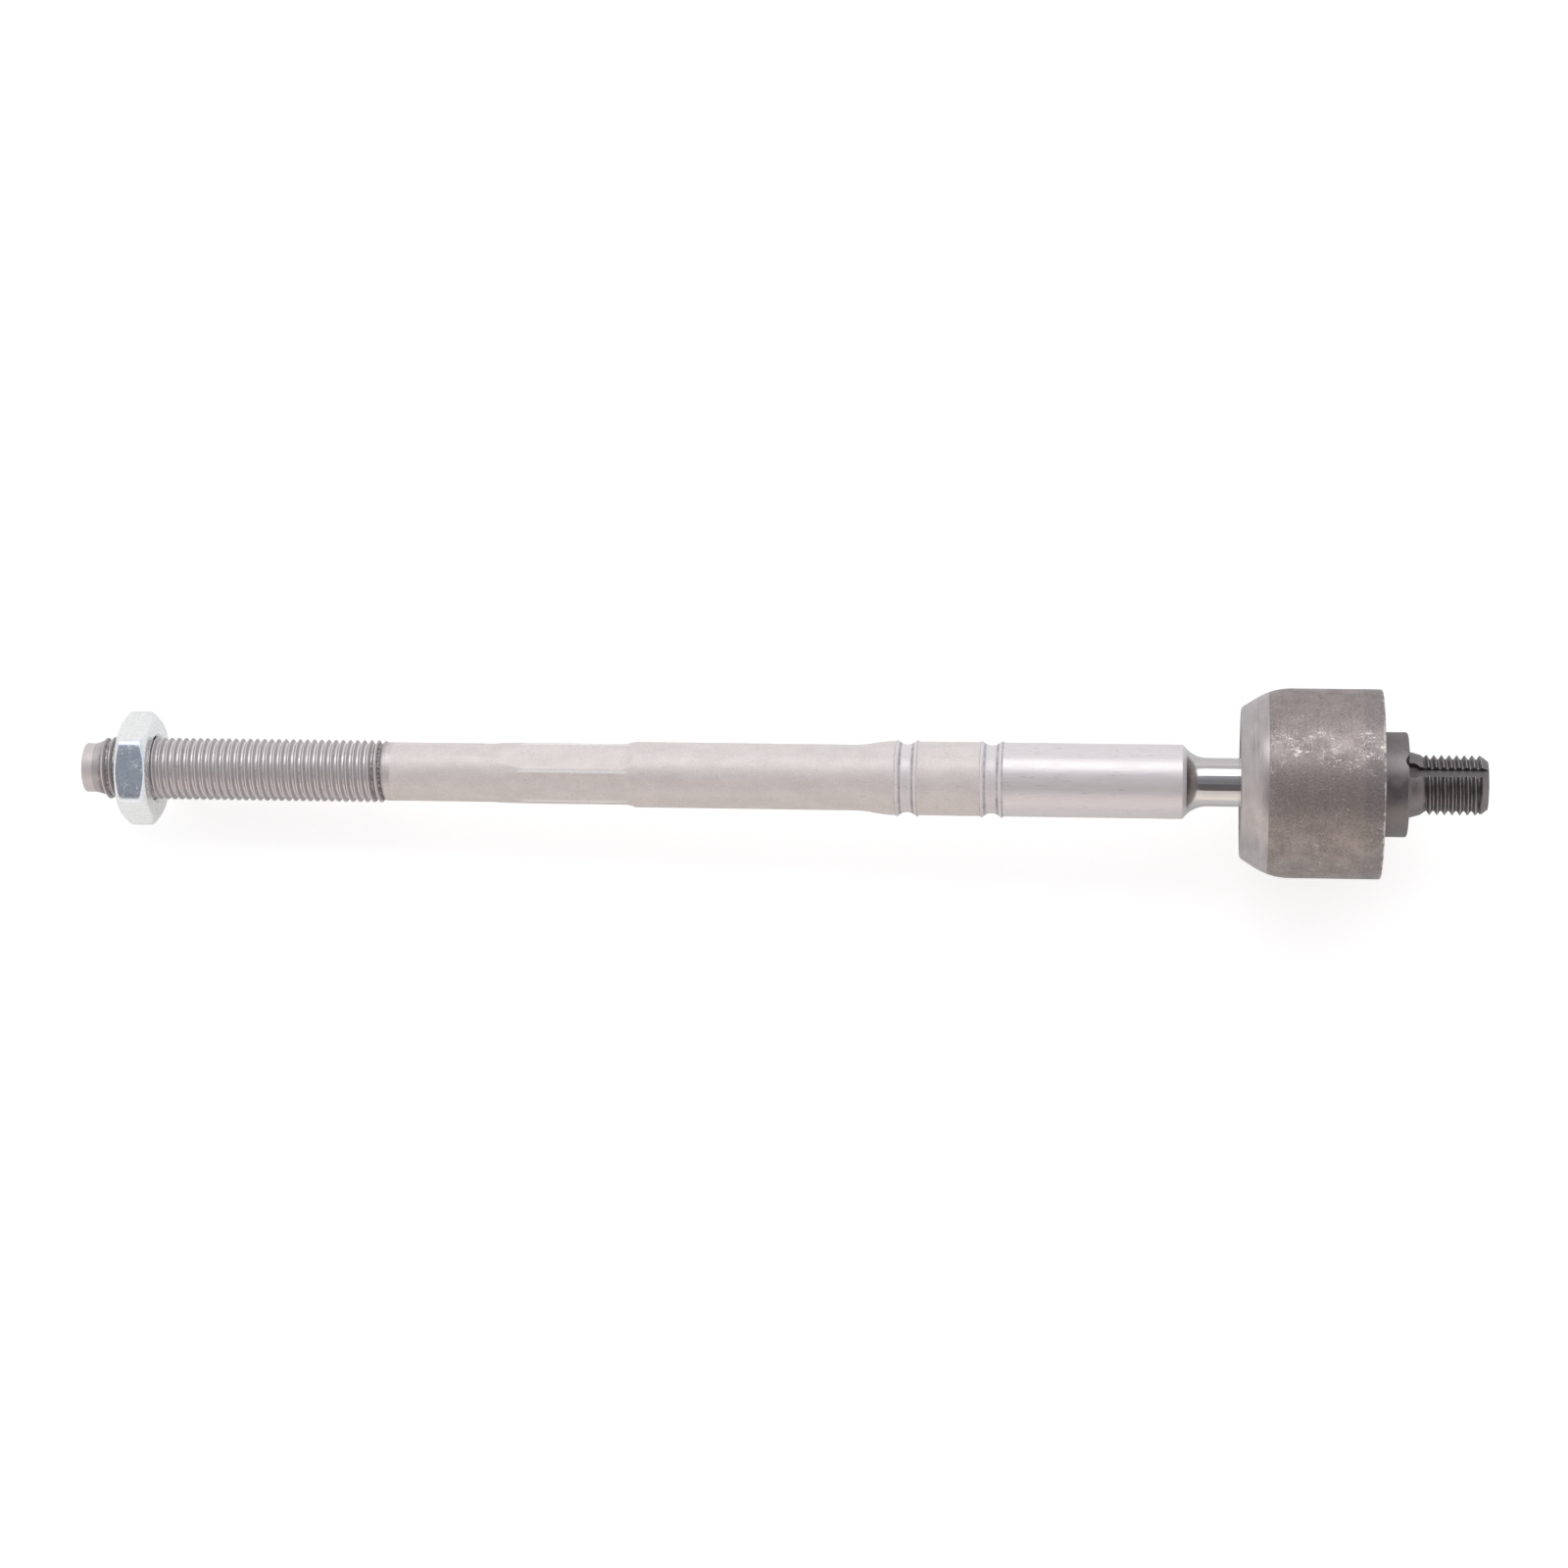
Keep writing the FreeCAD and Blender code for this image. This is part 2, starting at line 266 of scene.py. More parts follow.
def ball_and_neck():
    """Circle of the ball, its fillet, the neck, then an arc and a 45 degree cone up to the body."""
    reach = ball_r + neck_fillet
    direction = 180 - np.degrees(np.arcsin((neck_r + neck_fillet) / reach))
    fillet_x = reach * np.cos(np.radians(direction))
    shoulder_cone, edge, edge_start = 0.87, 0.1, 0.12
    shoulder_r = (body_r - neck_r - shoulder_cone) / (1 - np.cos(np.radians(45)))
    neck_far = body_near + shoulder_cone + shoulder_r * np.sin(np.radians(45))
    return outline(
        arc((0, 0), ball_r, POLE, direction, 40),
        arc((fillet_x, neck_r + neck_fillet), neck_fillet, direction - 180, -90, 10),
        (neck_far, neck_r),
        arc((neck_far, neck_r + shoulder_r), shoulder_r, -90, -135, 12),
        (body_near + edge_start, body_r - edge),
        (body_near - edge, body_r),
    )


def groove(middle):
    """Two narrow crests pushed up beside a round valley, and a hollow flank outside each."""
    rise = groove_lip + groove_depth
    chord = groove_half - groove_crest / 2
    valley_r = (chord ** 2 + rise ** 2) / (2 * rise)
    swing = np.degrees(np.arcsin(chord / valley_r))
    flank = groove_flank - groove_crest / 2
    flank_r = (flank ** 2 + groove_lip ** 2) / (2 * groove_lip)
    flank_swing = np.degrees(np.arcsin(flank / flank_r))
    outside = groove_half + groove_flank
    crest = body_r + groove_lip
    return outline(
        arc((middle + outside, body_r + flank_r), flank_r, -90, -90 - flank_swing, 5),
        (middle + groove_half, crest + groove_round),
        arc((middle, crest - rise + valley_r), valley_r, -90 + swing, -90 - swing, 18),
        (middle - groove_half, crest + groove_round),
        arc((middle - outside, body_r + flank_r), flank_r, -90 + flank_swing, -90, 5),
    )


def body_and_taper():
    """The grooved body, and the taper: two arcs that meet halfway down."""
    half_drop, half_length = (body_r - shank_r) / 2, (body_far - taper_far) / 2
    bend = (half_length ** 2 + half_drop ** 2) / (2 * half_drop)
    swing = np.degrees(np.arcsin(half_length / bend))
    return outline(
        groove(near_groove),
        groove(far_groove),
        arc((body_far, body_r - bend), bend, 90, 90 + swing, 8),
        arc((taper_far, shank_r + bend), bend, -90 + swing, -90, 8),
    )


rod_front = outline(ball_and_neck(), body_and_taper(), (front_far, shank_r))
print("outline points from ball to shank:", len(rod_front))

# %% [markdown]
# The wrench hexagon is pressed into the round bar, so its corners keep the bar's own round
# surface, and each flat ends in the scallop that the round edge of the tool leaves. The radius at
# an angle is the smaller of the round bar's and the flat's, and easing the corner between the two
# gives the small rolled edge that real pressed steel has.

# %% Wrench hexagon
hexagon_far = shank_far - 22.1
blank_near = hexagon_far - 7.0
thread_near = blank_near - 22.0
hexagon_start, scallop_end, flat_start = shank_far + 0.5, shank_far - 2.9, shank_far - 4
hexagon_end = blank_near - 1.5
flat_depth, scallop_r = 0.625, 5.7
hexagon_turn = np.radians(7.7)
PRESSED_SHARPNESS = 420
rod_angles = all_round(144, hexagon_turn + TURN / 2)


def hexagon_rows():
    """Radius by angle: the round bar against six flats, whose depth fades at both ends."""
    x = np.concatenate([
        np.linspace(hexagon_start, scallop_end, 22),
        np.linspace(flat_start, hexagon_far, 8),
        np.linspace(hexagon_far, hexagon_end, 34)[1:],
    ])
    bar = np.interp(-x, [-hexagon_far, -blank_near], [shank_r, blank_r])[:, None]
    flat = shank_r - flat_depth
    near = shank_far - np.sqrt(scallop_r ** 2 - (scallop_r - flat_depth) ** 2)
    # The scallop's arc stops just before it would stand upright
    past = np.clip(np.maximum(x - near, blank_near - x), 0, scallop_r * 0.99)
    floor = flat + scallop_r - np.sqrt(scallop_r ** 2 - past ** 2)
    flats = six_flats(rod_angles, hexagon_turn + np.radians(30), floor[:, None])
    return x[:, None], soft_min(PRESSED_SHARPNESS, bar, *flats)


print("hexagon:", round(2 * (shank_r - flat_depth), 2), "mm across its flats")

# %% [markdown]
# Outer thread and plain point. The thread was rolled from a bar of its mean diameter, so where it
# starts its crests rise and its roots sink from the bar at once. At the other end a lead cone
# trims the crests down to the plain point that guides the nut on.

# %% Outer thread and point
outer_crest_r, point_r = 6.4, 5.05
point_length, lead_length, point_crown = 2.5, 2.7, 0.45
point_near = rod_end + point_length
thread_far = point_near + lead_length
wound_start, grown_start, grown_over = thread_near + 0.35, thread_near + 0.3, 1.9
thread_turns = int((wound_start - point_near) / THREAD_PITCH) - 1


def outer_thread_shape(x, r):
    """Near the shank the form grows out of the blank; at the far end a cone trims it."""
    grown = np.clip((grown_start - x) / grown_over, 0, 1)
    grown = grown * grown * (3 - 2 * grown)
    trimmed = np.interp(x, [point_near, thread_far], [point_r, outer_crest_r])
    return np.minimum(blank_r + (r - blank_r) * grown, trimmed)


def point_outline():
    """Plain point and its domed end: x rises with the cube of the radius, flat in the middle."""
    rim_x = rod_end + point_crown
    edge_start, edge_end, edge_drop = 0.12, 0.02, 0.05
    share = np.linspace(1.0, 0.06, 16)
    dome = np.stack([rod_end + point_crown * share ** 3, point_r * share], axis=1)
    return outline((point_near, point_r), (rim_x + edge_start, point_r),
                   (rim_x + edge_end, point_r - edge_drop), dome[1:])


print("outer thread:", thread_turns, "turns")

# %% [markdown]
# Finishes of the rod, by number: ground neck, polished body, pressed shank, rolled thread. Each
# row of faces carries one, so the same steel can change its finish where the tool changed.

# %% Rod skin
NECK, BODY, SHANK, THREAD = range(4)
neck_finish_x = body_near + 0.9
groove_reach = groove_half + 0.3


def rod_skin():
    """Front outline, hexagon, blank, wound thread and point, each joined to the one before."""
    skin = Skin()
    front = skin.spun(rod_front, rod_angles)
    middle = (rod_front[1:, 0] + rod_front[:-1, 0]) / 2
    grooves = np.array([far_groove, near_groove])
    in_groove = np.abs(middle[:, None] - grooves).min(axis=1) < groove_reach
    polished = in_groove | (middle > near_groove)
    finish = np.where(middle > neck_finish_x, NECK, np.where(polished, BODY, SHANK))
    skin.rows(front, finish)
    skin.polygon(front[0][::-1], NECK)

    hexagon = skin.grid(carried(*hexagon_rows(), rod_angles))
    skin.rows(np.vstack([front[-1:], hexagon]), SHANK)

    last_flat_row = wound_start + THREAD_PITCH / 2 + 0.06
    blank = skin.spun(outline((last_flat_row, blank_r)), rod_angles)
    skin.rows(np.vstack([hexagon[-1:], blank]), SHANK)
    wound = skin.grid(wound_rows(
        wound_start, thread_turns, outer_crest_r, rod_angles, outer_thread_shape))
    end = skin.spun(point_outline(), rod_angles)
    wind_thread(skin, blank[0], wound, end[0], THREAD)
    skin.rows(end, THREAD)
    skin.polygon(end[-1], THREAD)
    return skin


# %% [markdown]
# The housing is one forging. Its outline starts at the end of the stub, goes over the thread, the
# collar and the cup, rolls over the lip, and comes back through the mouth into the socket. Going
# round in one direction keeps one closed skin, inside and outside. The slot and its round end are
# cut afterwards with a Boolean modifier, because a key-shaped prism is simpler than a grid there.

# %% Housing outline
back_x = 15.4
shoulder_x = back_x + 5.1
stub_r, collar_r, socket_r = 6.0, 10.5, 14.0
root_r, root_fillet = stub_r + 0.5, 0.8
stub_root_x = shoulder_x + 2.5
roll_r, bevel_angle, lip_drop = 13.0, 32.0, 3.9
cup_edge, mouth_edge = 0.4, 0.4
tilt, tilt_gap = np.radians(20.0), 0.5


def mouth_radius(x):
    """Where the neck's edge passes when it is fully tilted, plus a gap."""
    return -x * np.tan(tilt) + neck_r / np.cos(tilt) + tilt_gap


def lip_tip():
    """Where the mouth's cone meets the socket's sphere: the root of a quadratic."""
    slope, start = np.tan(tilt), mouth_radius(0)
    a, b = 1 + slope ** 2, slope * start
    return -(np.sqrt(b ** 2 - a * (start ** 2 - socket_r ** 2)) - b) / a


def collar_outline():
    """Fillet of the root, the face that seats on the rack, the collar and its fillet to the cup."""
    edge, base = 0.5, 0.7
    return outline(
        (shoulder_x + root_fillet, root_r),
        arc((shoulder_x + root_fillet, root_r + root_fillet), root_fillet, -90, -180, 6),
        (shoulder_x, collar_r - edge),
        arc((shoulder_x - edge, collar_r - edge), edge, 0, 90, 6),
        arc((back_x + base, collar_r + base), base, -90, -180, 6),
        run((back_x, collar_r + base), (back_x, cup_r - cup_edge), 6),
    )


def cup_outline():
    """Cylinder, rolled shoulder, bevel, front face, mouth and socket."""
    roll_drop = roll_r * (1 - np.cos(np.radians(bevel_angle)))
    roll_start = lip_x + (lip_drop - roll_drop) / np.tan(np.radians(bevel_angle))
    roll_end = roll_start + roll_r * np.sin(np.radians(bevel_angle))
    tip = lip_tip()
    socket_angle = np.degrees(np.arctan2(mouth_radius(tip), tip))
    corner = 1.0
    corner_r = cup_r - lip_drop - corner * np.tan(np.radians(90 - bevel_angle) / 2)
    inner_x = lip_x + mouth_edge
    return outline(
        arc((back_x - cup_edge, cup_r - cup_edge), cup_edge, 0, 90, 5),
        run((back_x - cup_edge, cup_r), (roll_end, cup_r), 12),
        arc((roll_end, cup_r - roll_r), roll_r, 90, 90 + bevel_angle, 14),
        arc((lip_x + corner, corner_r), corner, 90 + bevel_angle, 180, 7),
        (lip_x, mouth_radius(lip_x) + mouth_edge), (inner_x, mouth_radius(inner_x)),
        arc((0, 0), socket_r, socket_angle, POLE, 44),
    )


print("housing's mouth:", round(2 * mouth_radius(lip_x), 2), "mm wide")

# %% [markdown]
# Finishes of the housing: dark scuffed cup, lighter zone where the rolling tool rubbed the lip,
# oiled stub and collar. The stub's thread is trimmed by a chamfer at its end, and it grows out of
# a short cone at the collar, so its shape function is made of three stretches.

# %% Housing skin
CUP, SWAGED, STUB = range(3)
swaged_x = -7.3
cup_angles = all_round(144, TURN / 2)
stub_wound_start = stub_end - 0.46
stub_turns = 8
end_centre_r, chamfer_length, chamfer_drop = 2.0, 1.5, 1.15
fill_start, fill_over, chamfer_from = stub_end - 1.9, 0.7, stub_root_x + 2
hair = 0.05


def root_cone(x):
    """Radius of the cone from the collar's fillet down to the stub."""
    return np.interp(x, [shoulder_x + root_fillet, stub_root_x], [root_r, stub_r])


def stub_thread_shape(x, r):
    """Grows out of the root cone, fills up towards the end, and a chamfer trims what is there."""
    chamfer = np.interp(x, [stub_end - chamfer_length, stub_end], [stub_r, stub_r - chamfer_drop])
    cone = root_cone(x)
    grown = np.clip(x - stub_root_x, 0, 1)
    r = r + (stub_r - r) * np.clip((x - fill_start) / fill_over, 0, 1)
    return np.minimum(cone + (r - cone) * grown, np.where(x > chamfer_from, chamfer, cone))


def housing_skin():
    """Stub's end face, wound thread, then collar, cup, mouth and socket as one outline."""
    skin = Skin()
    end = outline((stub_end, end_centre_r), (stub_end, stub_r - chamfer_drop))
    face = skin.spun(end, cup_angles)
    skin.polygon(face[0][::-1], STUB)
    skin.rows(face, STUB)
    wound = skin.grid(wound_rows(
        stub_wound_start, stub_turns, stub_r, cup_angles, stub_thread_shape, skipped=3))
    first_flat_row = stub_wound_start - (stub_turns + 0.5) * THREAD_PITCH - 0.04
    shell = outline((first_flat_row, root_cone(first_flat_row)), collar_outline(), cup_outline())
    rows = skin.spun(shell, cup_angles)
    wind_thread(skin, face[-1], wound, rows[0], STUB)
    middle_x, middle_r = ((shell[1:] + shell[:-1]) / 2).T
    on_stub = (middle_x > back_x - hair) & (middle_r < collar_r + 1)
    on_lip = (middle_x < swaged_x) & (middle_r > socket_r + hair)
    skin.rows(rows, np.where(on_lip, SWAGED, np.where(on_stub, STUB, CUP)))
    skin.polygon(rows[-1], CUP)
    return skin


print("stub thread:", stub_turns, "turns")

# %% [markdown]
# The stub has a lengthwise slot, with a round hole where it meets the collar. Both are one prism
# with a key-shaped outline, drawn upright and then turned to the slot's own angle. A Boolean
# modifier takes it out of the stub later on.

# %% Slot
slot_width, slot_depth, slot_turn = 1.9, 1.2, np.radians(31)
runout_r, runout_bite, overshoot = 1.65, 0.8, 2.0


def slot_cutter():
    """A prism with a key-shaped outline: a straight slot that starts in a round hole."""
    centre_x = shoulder_x - runout_bite + runout_r
    meet = np.degrees(np.arcsin(slot_width / 2 / runout_r))
    key = outline(arc((centre_x, 0), runout_r, meet, 360 - meet, 32),
                  (stub_end + overshoot, -slot_width / 2), (stub_end + overshoot, slot_width / 2))
    heights = (stub_r - slot_depth, collar_r + overshoot)
    layers = np.stack([np.column_stack([key, np.full(len(key), z)]) for z in heights])
    skin = Skin()
    numbers = skin.grid(layers @ np.array(Matrix.Rotation(slot_turn, 3, "X")))
    skin.rows(numbers, STUB)
    skin.polygon(numbers[0][::-1], STUB)
    skin.polygon(numbers[1], STUB)
    return skin


print("slot:", slot_width, "mm wide and", slot_depth, "mm deep")

# %% [markdown]
# The jam nut is a hexagon whose corners a cone trims at both faces. Carried round the axis with
# the same eased minimum, the cone leaves the curved line that every chamfered nut has on its
# flats. The rows close on themselves through the bore, so the nut is one ring-shaped skin.

# %% Nut skin
nut_bore_r, countersink, chamfer_x = 6.55, 0.6, 1.15
chamfer_angle = np.radians(30)
chamfer_zone, face_share = 1.5, 0.9
CORNER_SHARPNESS, CHAMFER_SHARPNESS = 24, 42
nut_angles = all_round(240)


def nut_skin():
    """Outer radius by angle: eased hexagon against the chamfer cones and the corner circle."""
    hexagon = soft_min(CORNER_SHARPNESS, *six_flats(nut_angles, 0.0, nut_half_flats))
    corner_r = nut_half_flats / np.cos(np.radians(30))
    face_r = corner_r - chamfer_x / np.tan(chamfer_angle)
    thick = nut_inner - nut_outer
    zone = np.linspace(0, chamfer_zone, 20)
    step = np.concatenate([zone, [thick / 2], thick - zone[::-1]])
    depth = np.minimum(step, thick - step)[:, None]
    cone = face_r + depth / np.tan(chamfer_angle)
    side_r = soft_min(CHAMFER_SHARPNESS, cone, hexagon)
    side_x = np.broadcast_to(nut_inner - step[:, None], side_r.shape)

    rise = np.linspace(0, face_share, 5)[:, None]
    start_r = nut_bore_r + countersink
    near_r = start_r + (side_r[0] - start_r) * rise
    far_r = start_r + (side_r[-1] - start_r) * rise[::-1]
    bore_x = np.array([[nut_outer + countersink], [nut_inner - countersink]])
    bore_shape = (2, len(nut_angles))
    x = np.vstack([np.full(near_r.shape, nut_inner), side_x, np.full(far_r.shape, nut_outer),
                   np.broadcast_to(bore_x, bore_shape)])
    r = np.vstack([near_r, side_r, far_r, np.full(bore_shape, nut_bore_r)])
    skin = Skin()
    numbers = skin.grid(carried(x, r, nut_angles))
    skin.rows(np.vstack([numbers, numbers[:1]]), 0)
    return skin


print("nut:", round(2 * nut_half_flats, 2), "mm across its flats")

# %% [markdown]
# Shader nodes are easier to read when the lines that add them read like sums. A few helpers do
# that: one adds any node, others do a step of arithmetic, find a band of values or blend two
# colours. Another pair makes a node group with named sockets and places it in a material.

# %% Node helpers
SOCKETS = {"value": "NodeSocketFloat", "vector": "NodeSocketVector", "colour": "NodeSocketColor"}


def add(tree, kind, inputs=(), **settings):
    """A new node. inputs gives numbers, colours or other nodes' sockets by name or number."""
    node = tree.nodes.new("ShaderNode" + kind)
    for name, value in settings.items():
        setattr(node, name, value)
    for name, value in dict(inputs).items():
        if isinstance(value, bpy.types.NodeSocket):
            tree.links.new(value, node.inputs[name])
        else:
            node.inputs[name].default_value = value
    return node


def calc(tree, operation, *values, clamp=False):
    """The result of one Math node."""
    return add(tree, "Math", enumerate(values), operation=operation, use_clamp=clamp).outputs[0]


def ramp(tree, value, low, high, to_low=0.0, to_high=1.0):
    """value carried from the range low to high to the range to_low to to_high, smoothly."""
    sockets = {"Value": value, "From Min": low, "From Max": high, "To Min": to_low, "To Max": to_high}
    return add(tree, "MapRange", sockets, interpolation_type="SMOOTHSTEP").outputs[0]


def between(tree, value, start, full, fading, end):
    """1 where value lies from full to fading, 0 below start and past end, smooth on both sides."""
    return calc(tree, "MULTIPLY", ramp(tree, value, start, full), ramp(tree, value, end, fading))


def apart(tree, a, b):
    """How far two values lie from one another."""
    return calc(tree, "ABSOLUTE", calc(tree, "SUBTRACT", a, b))


def tint(tree, share, a, b):
    """Colour a where share is 0, colour b where it is 1."""
    return add(tree, "Mix", {0: share, 6: a, 7: b}, data_type="RGBA").outputs[2]


def new_group(name, inputs, outputs):
    """An empty node group, the sockets that come in and the sockets that go out."""
    tree = bpy.data.node_groups.new(name, "ShaderNodeTree")
    for direction, sockets in (("INPUT", inputs), ("OUTPUT", outputs)):
        for label, kind in sockets.items():
            tree.interface.new_socket(label, in_out=direction, socket_type=SOCKETS[kind])
    return tree, tree.nodes.new("NodeGroupInput").outputs, tree.nodes.new("NodeGroupOutput").inputs


def use(tree, group, inputs):
    """The outputs of a node group placed in this tree."""
    return add(tree, "Group", inputs, node_tree=group).outputs


def colour(red, green, blue):
    """A colour as the sockets want it, with an alpha of 1."""
    return (red, green, blue, 1.0)


print("node helpers for", ", ".join(SOCKETS), "sockets")

# %% [markdown]
# Marks on turned metal follow the axis: rings from the lathe, streaks along the bar, scratches
# that wander over the round surface. So the first group turns a place on the part into
# millimetres along the axis, millimetres away from it, and the same surface rolled out flat.

# %% Group: place on a turned piece
def make_turned_place():
    """Along = x, Away = root of (y squared + z squared), Flat = (x, girth radius times angle)."""
    tree, given, out = new_group(
        "turned place", {"Girth": "value"},
        {"Along": "value", "Away": "value", "Flat": "vector", "Solid": "vector"})
    place = add(tree, "TexCoord").outputs["Object"]
    scaled = add(tree, "VectorMath", {0: place, "Scale": 1 / MM}, operation="SCALE").outputs[0]
    parts = add(tree, "SeparateXYZ", {0: scaled}).outputs
    squares = [calc(tree, "MULTIPLY", parts[k], parts[k]) for k in (1, 2)]
    away = calc(tree, "SQRT", calc(tree, "ADD", *squares))
    angle = calc(tree, "ARCTAN2", parts[1], parts[2])
    around = calc(tree, "MULTIPLY", angle, given["Girth"])
    flat = add(tree, "CombineXYZ", {0: parts[0], 1: around, 2: away}).outputs[0]
    for name, value in (("Along", parts[0]), ("Away", away), ("Flat", flat), ("Solid", scaled)):
        tree.links.new(value, out[name])
    return tree


turned_place = make_turned_place()
print("group:", turned_place.name)

# %% [markdown]
# Handling leaves scratches: short, thin, a little bent, and in crowds. They could be painted, but
# a cell pattern can draw them as well. Each cell of a Voronoi texture holds one arc, with its own
# direction, bend and brightness, all taken from the cell's random colour. A second pattern, given
# as Crowd, decides which cells keep their arc.

# %% Group: scratches
def make_scratches():
    """One arc a cell: v = bow times u squared, thinner to both ends, where chance is below Crowd."""
    tree, given, out = new_group(
        "scratches",
        {"Place": "vector", "Cell": "value", "Length": "value", "Width": "value",
         "Crowd": "value", "Seed": "vector"}, {"Mask": "value"})
    step = add(tree, "CombineXYZ", {0: given["Cell"], 1: given["Cell"], 2: given["Cell"]}).outputs[0]
    spread = add(tree, "VectorMath", {0: given["Place"], 1: step}, operation="DIVIDE").outputs[0]
    spread = add(tree, "VectorMath", {0: spread, 1: given["Seed"]}, operation="ADD").outputs[0]
    cell = add(tree, "TexVoronoi", {"Vector": spread, "Scale": 1.0}, voronoi_dimensions="2D").outputs
    chance = add(tree, "SeparateColor", {0: cell["Color"]}).outputs
    inside = add(tree, "VectorMath", {0: spread, 1: cell["Position"]}, operation="SUBTRACT").outputs[0]
    turned = add(tree, "VectorRotate", {
        "Vector": inside, "Angle": calc(tree, "MULTIPLY", chance[0], TURN)}, rotation_type="Z_AXIS")
    u, v = add(tree, "SeparateXYZ", {0: turned.outputs[0]}).outputs[:2]
    bow = calc(tree, "MULTIPLY", calc(tree, "SUBTRACT", chance[1], 0.5), 1.8)
    bent = calc(tree, "MULTIPLY_ADD", calc(tree, "MULTIPLY", u, u), bow, v)
    reach = calc(tree, "MULTIPLY", given["Length"], calc(tree, "MULTIPLY_ADD", chance[1], 0.7, 0.3))
    share = calc(tree, "DIVIDE", u, reach)
    taper = calc(tree, "MULTIPLY_ADD", calc(tree, "MULTIPLY", share, share), -1.0, 1.0, clamp=True)
    half = calc(tree, "MULTIPLY", calc(tree, "DIVIDE", given["Width"], given["Cell"]), taper)
    line = calc(tree, "DIVIDE", calc(tree, "ABSOLUTE", bent), calc(tree, "ADD", half, 0.0001))
    mark = calc(tree, "MULTIPLY", calc(tree, "SUBTRACT", 1.3, line, clamp=True), taper)
    kept = calc(tree, "MULTIPLY", calc(tree, "SUBTRACT", given["Crowd"], chance[2]), 3.0, clamp=True)
    tree.links.new(calc(tree, "MULTIPLY", mark, kept), out["Mask"])
    return tree


scratches = make_scratches()
print("group:", scratches.name)

# %% [markdown]
# An edge on a turned piece is a ring, and a ring is easy to find: it is the distance in the half
# section from one point. Bright metal shows there in an uneven line, where the dark skin has been
# knocked off against other parts.

# %% Group: worn ring
def make_worn_ring():
    """1 within Width of the point (Edge along, Edge away) of the half section, broken by noise."""
    tree, given, out = new_group(
        "worn ring",
        {"Along": "value", "Away": "value", "Solid": "vector", "Edge along": "value",
         "Edge away": "value", "Width": "value"}, {"Mask": "value"})
    across = [calc(tree, "SUBTRACT", given[a], given["Edge " + a.lower()]) for a in ("Along", "Away")]
    squares = [calc(tree, "MULTIPLY", step, step) for step in across]
    distance = calc(tree, "SQRT", calc(tree, "ADD", *squares))
    noise = add(tree, "TexNoise", {"Vector": given["Solid"], "Scale": 0.7, "Detail": 4.0}).outputs[0]
    reach = calc(tree, "MULTIPLY", given["Width"], ramp(tree, noise, 0.38, 0.66, 0.15, 1.5))
    share = calc(tree, "DIVIDE", distance, reach)
    tree.links.new(calc(tree, "SUBTRACT", 1.4, share, clamp=True), out["Mask"])
    return tree


worn_ring = make_worn_ring()
print("group:", worn_ring.name)

# %% [markdown]
# Fine structure comes as noise too, but the shape of its cells tells the story: round cells are
# blasted or forged grain, cells drawn out round the axis are lathe rings, and cells drawn out
# along it are the streaks of handling. One group makes all three, from a stretch along each axis.

# %% Group: drawn grain
def make_drawn_grain():
    """Noise whose cells are Along by Across millimetres, from 0 to 1, spread by Contrast."""
    tree, given, out = new_group(
        "drawn grain", {"Solid": "vector", "Along": "value", "Across": "value", "Contrast": "value"},
        {"Value": "value"})
    size = add(tree, "CombineXYZ", {0: given["Along"], 1: given["Across"], 2: given["Across"]})
    cell = add(tree, "VectorMath", {0: given["Solid"], 1: size.outputs[0]}, operation="DIVIDE").outputs[0]
    noise = add(tree, "TexNoise", {"Vector": cell, "Scale": 1.0, "Detail": 2.0, "Roughness": 0.6})
    centred = calc(tree, "SUBTRACT", noise.outputs[0], 0.5)
    spread = calc(tree, "MULTIPLY_ADD", centred, given["Contrast"], 0.5, clamp=True)
    tree.links.new(spread, out["Value"])
    return tree


drawn_grain = make_drawn_grain()
print("group:", drawn_grain.name)

# %% [markdown]
# Every steel below ends the same way: colour, roughness and a bump go into one shader. A metallic
# value of 1 makes the base colour the colour of the reflection, so a dark steel is one with a dark
# base colour. A forged or pressed skin also scatters light in its pores, and a metallic value
# under 1 stands for that: its shading is softer than a mirror's, however rough.

# %% Steel helpers
def new_material(name):
    """A material whose node tree is empty, and that tree."""
    material = bpy.data.materials.new(name)
    material.use_nodes = True
    material.node_tree.nodes.clear()
    return material, material.node_tree


def turned_material(name, girth):
    """A new material, its tree, and the place on a turned piece whose radius is girth."""
    material, tree = new_material(name)
    return material, tree, use(tree, turned_place, {"Girth": girth})


def finish_steel(tree, base, roughness, height, depth, metallic=1.0, sheen_at_rim=0.5):
    """Principled shader, and a bump whose height is depth millimetres tall."""
    bump = add(tree, "Bump", {"Height": height, "Distance": depth * MM, "Strength": 1.0})
    shader = add(tree, "BsdfPrincipled", {
        "Base Color": base, "Roughness": roughness, "Metallic": metallic, "Normal": bump.outputs[0],
        "Specular IOR Level": sheen_at_rim})
    add(tree, "OutputMaterial", {"Surface": shader.outputs[0]})


def grain(tree, place, along, across, contrast=2.0):
    """Drawn grain at a place, with cells of along by across millimetres."""
    sockets = {"Solid": place["Solid"], "Along": along, "Across": across, "Contrast": contrast}
    return use(tree, drawn_grain, sockets)["Value"]


def all_scratches(tree, place, crowd, layers):
    """The strongest of several layers of scratches, each (cell, width) in millimetres."""
    total = 0.0
    for number, (cell, width) in enumerate(layers):
        mask = use(tree, scratches, {
            "Place": place["Flat"], "Cell": cell, "Length": 0.42, "Width": width, "Crowd": crowd,
            "Seed": (3.7 * number, 1.9 * number, 0.0)})["Mask"]
        total = calc(tree, "MAXIMUM", mask, total)
    return total


print("steels use:", ", ".join(group.name for group in bpy.data.node_groups))

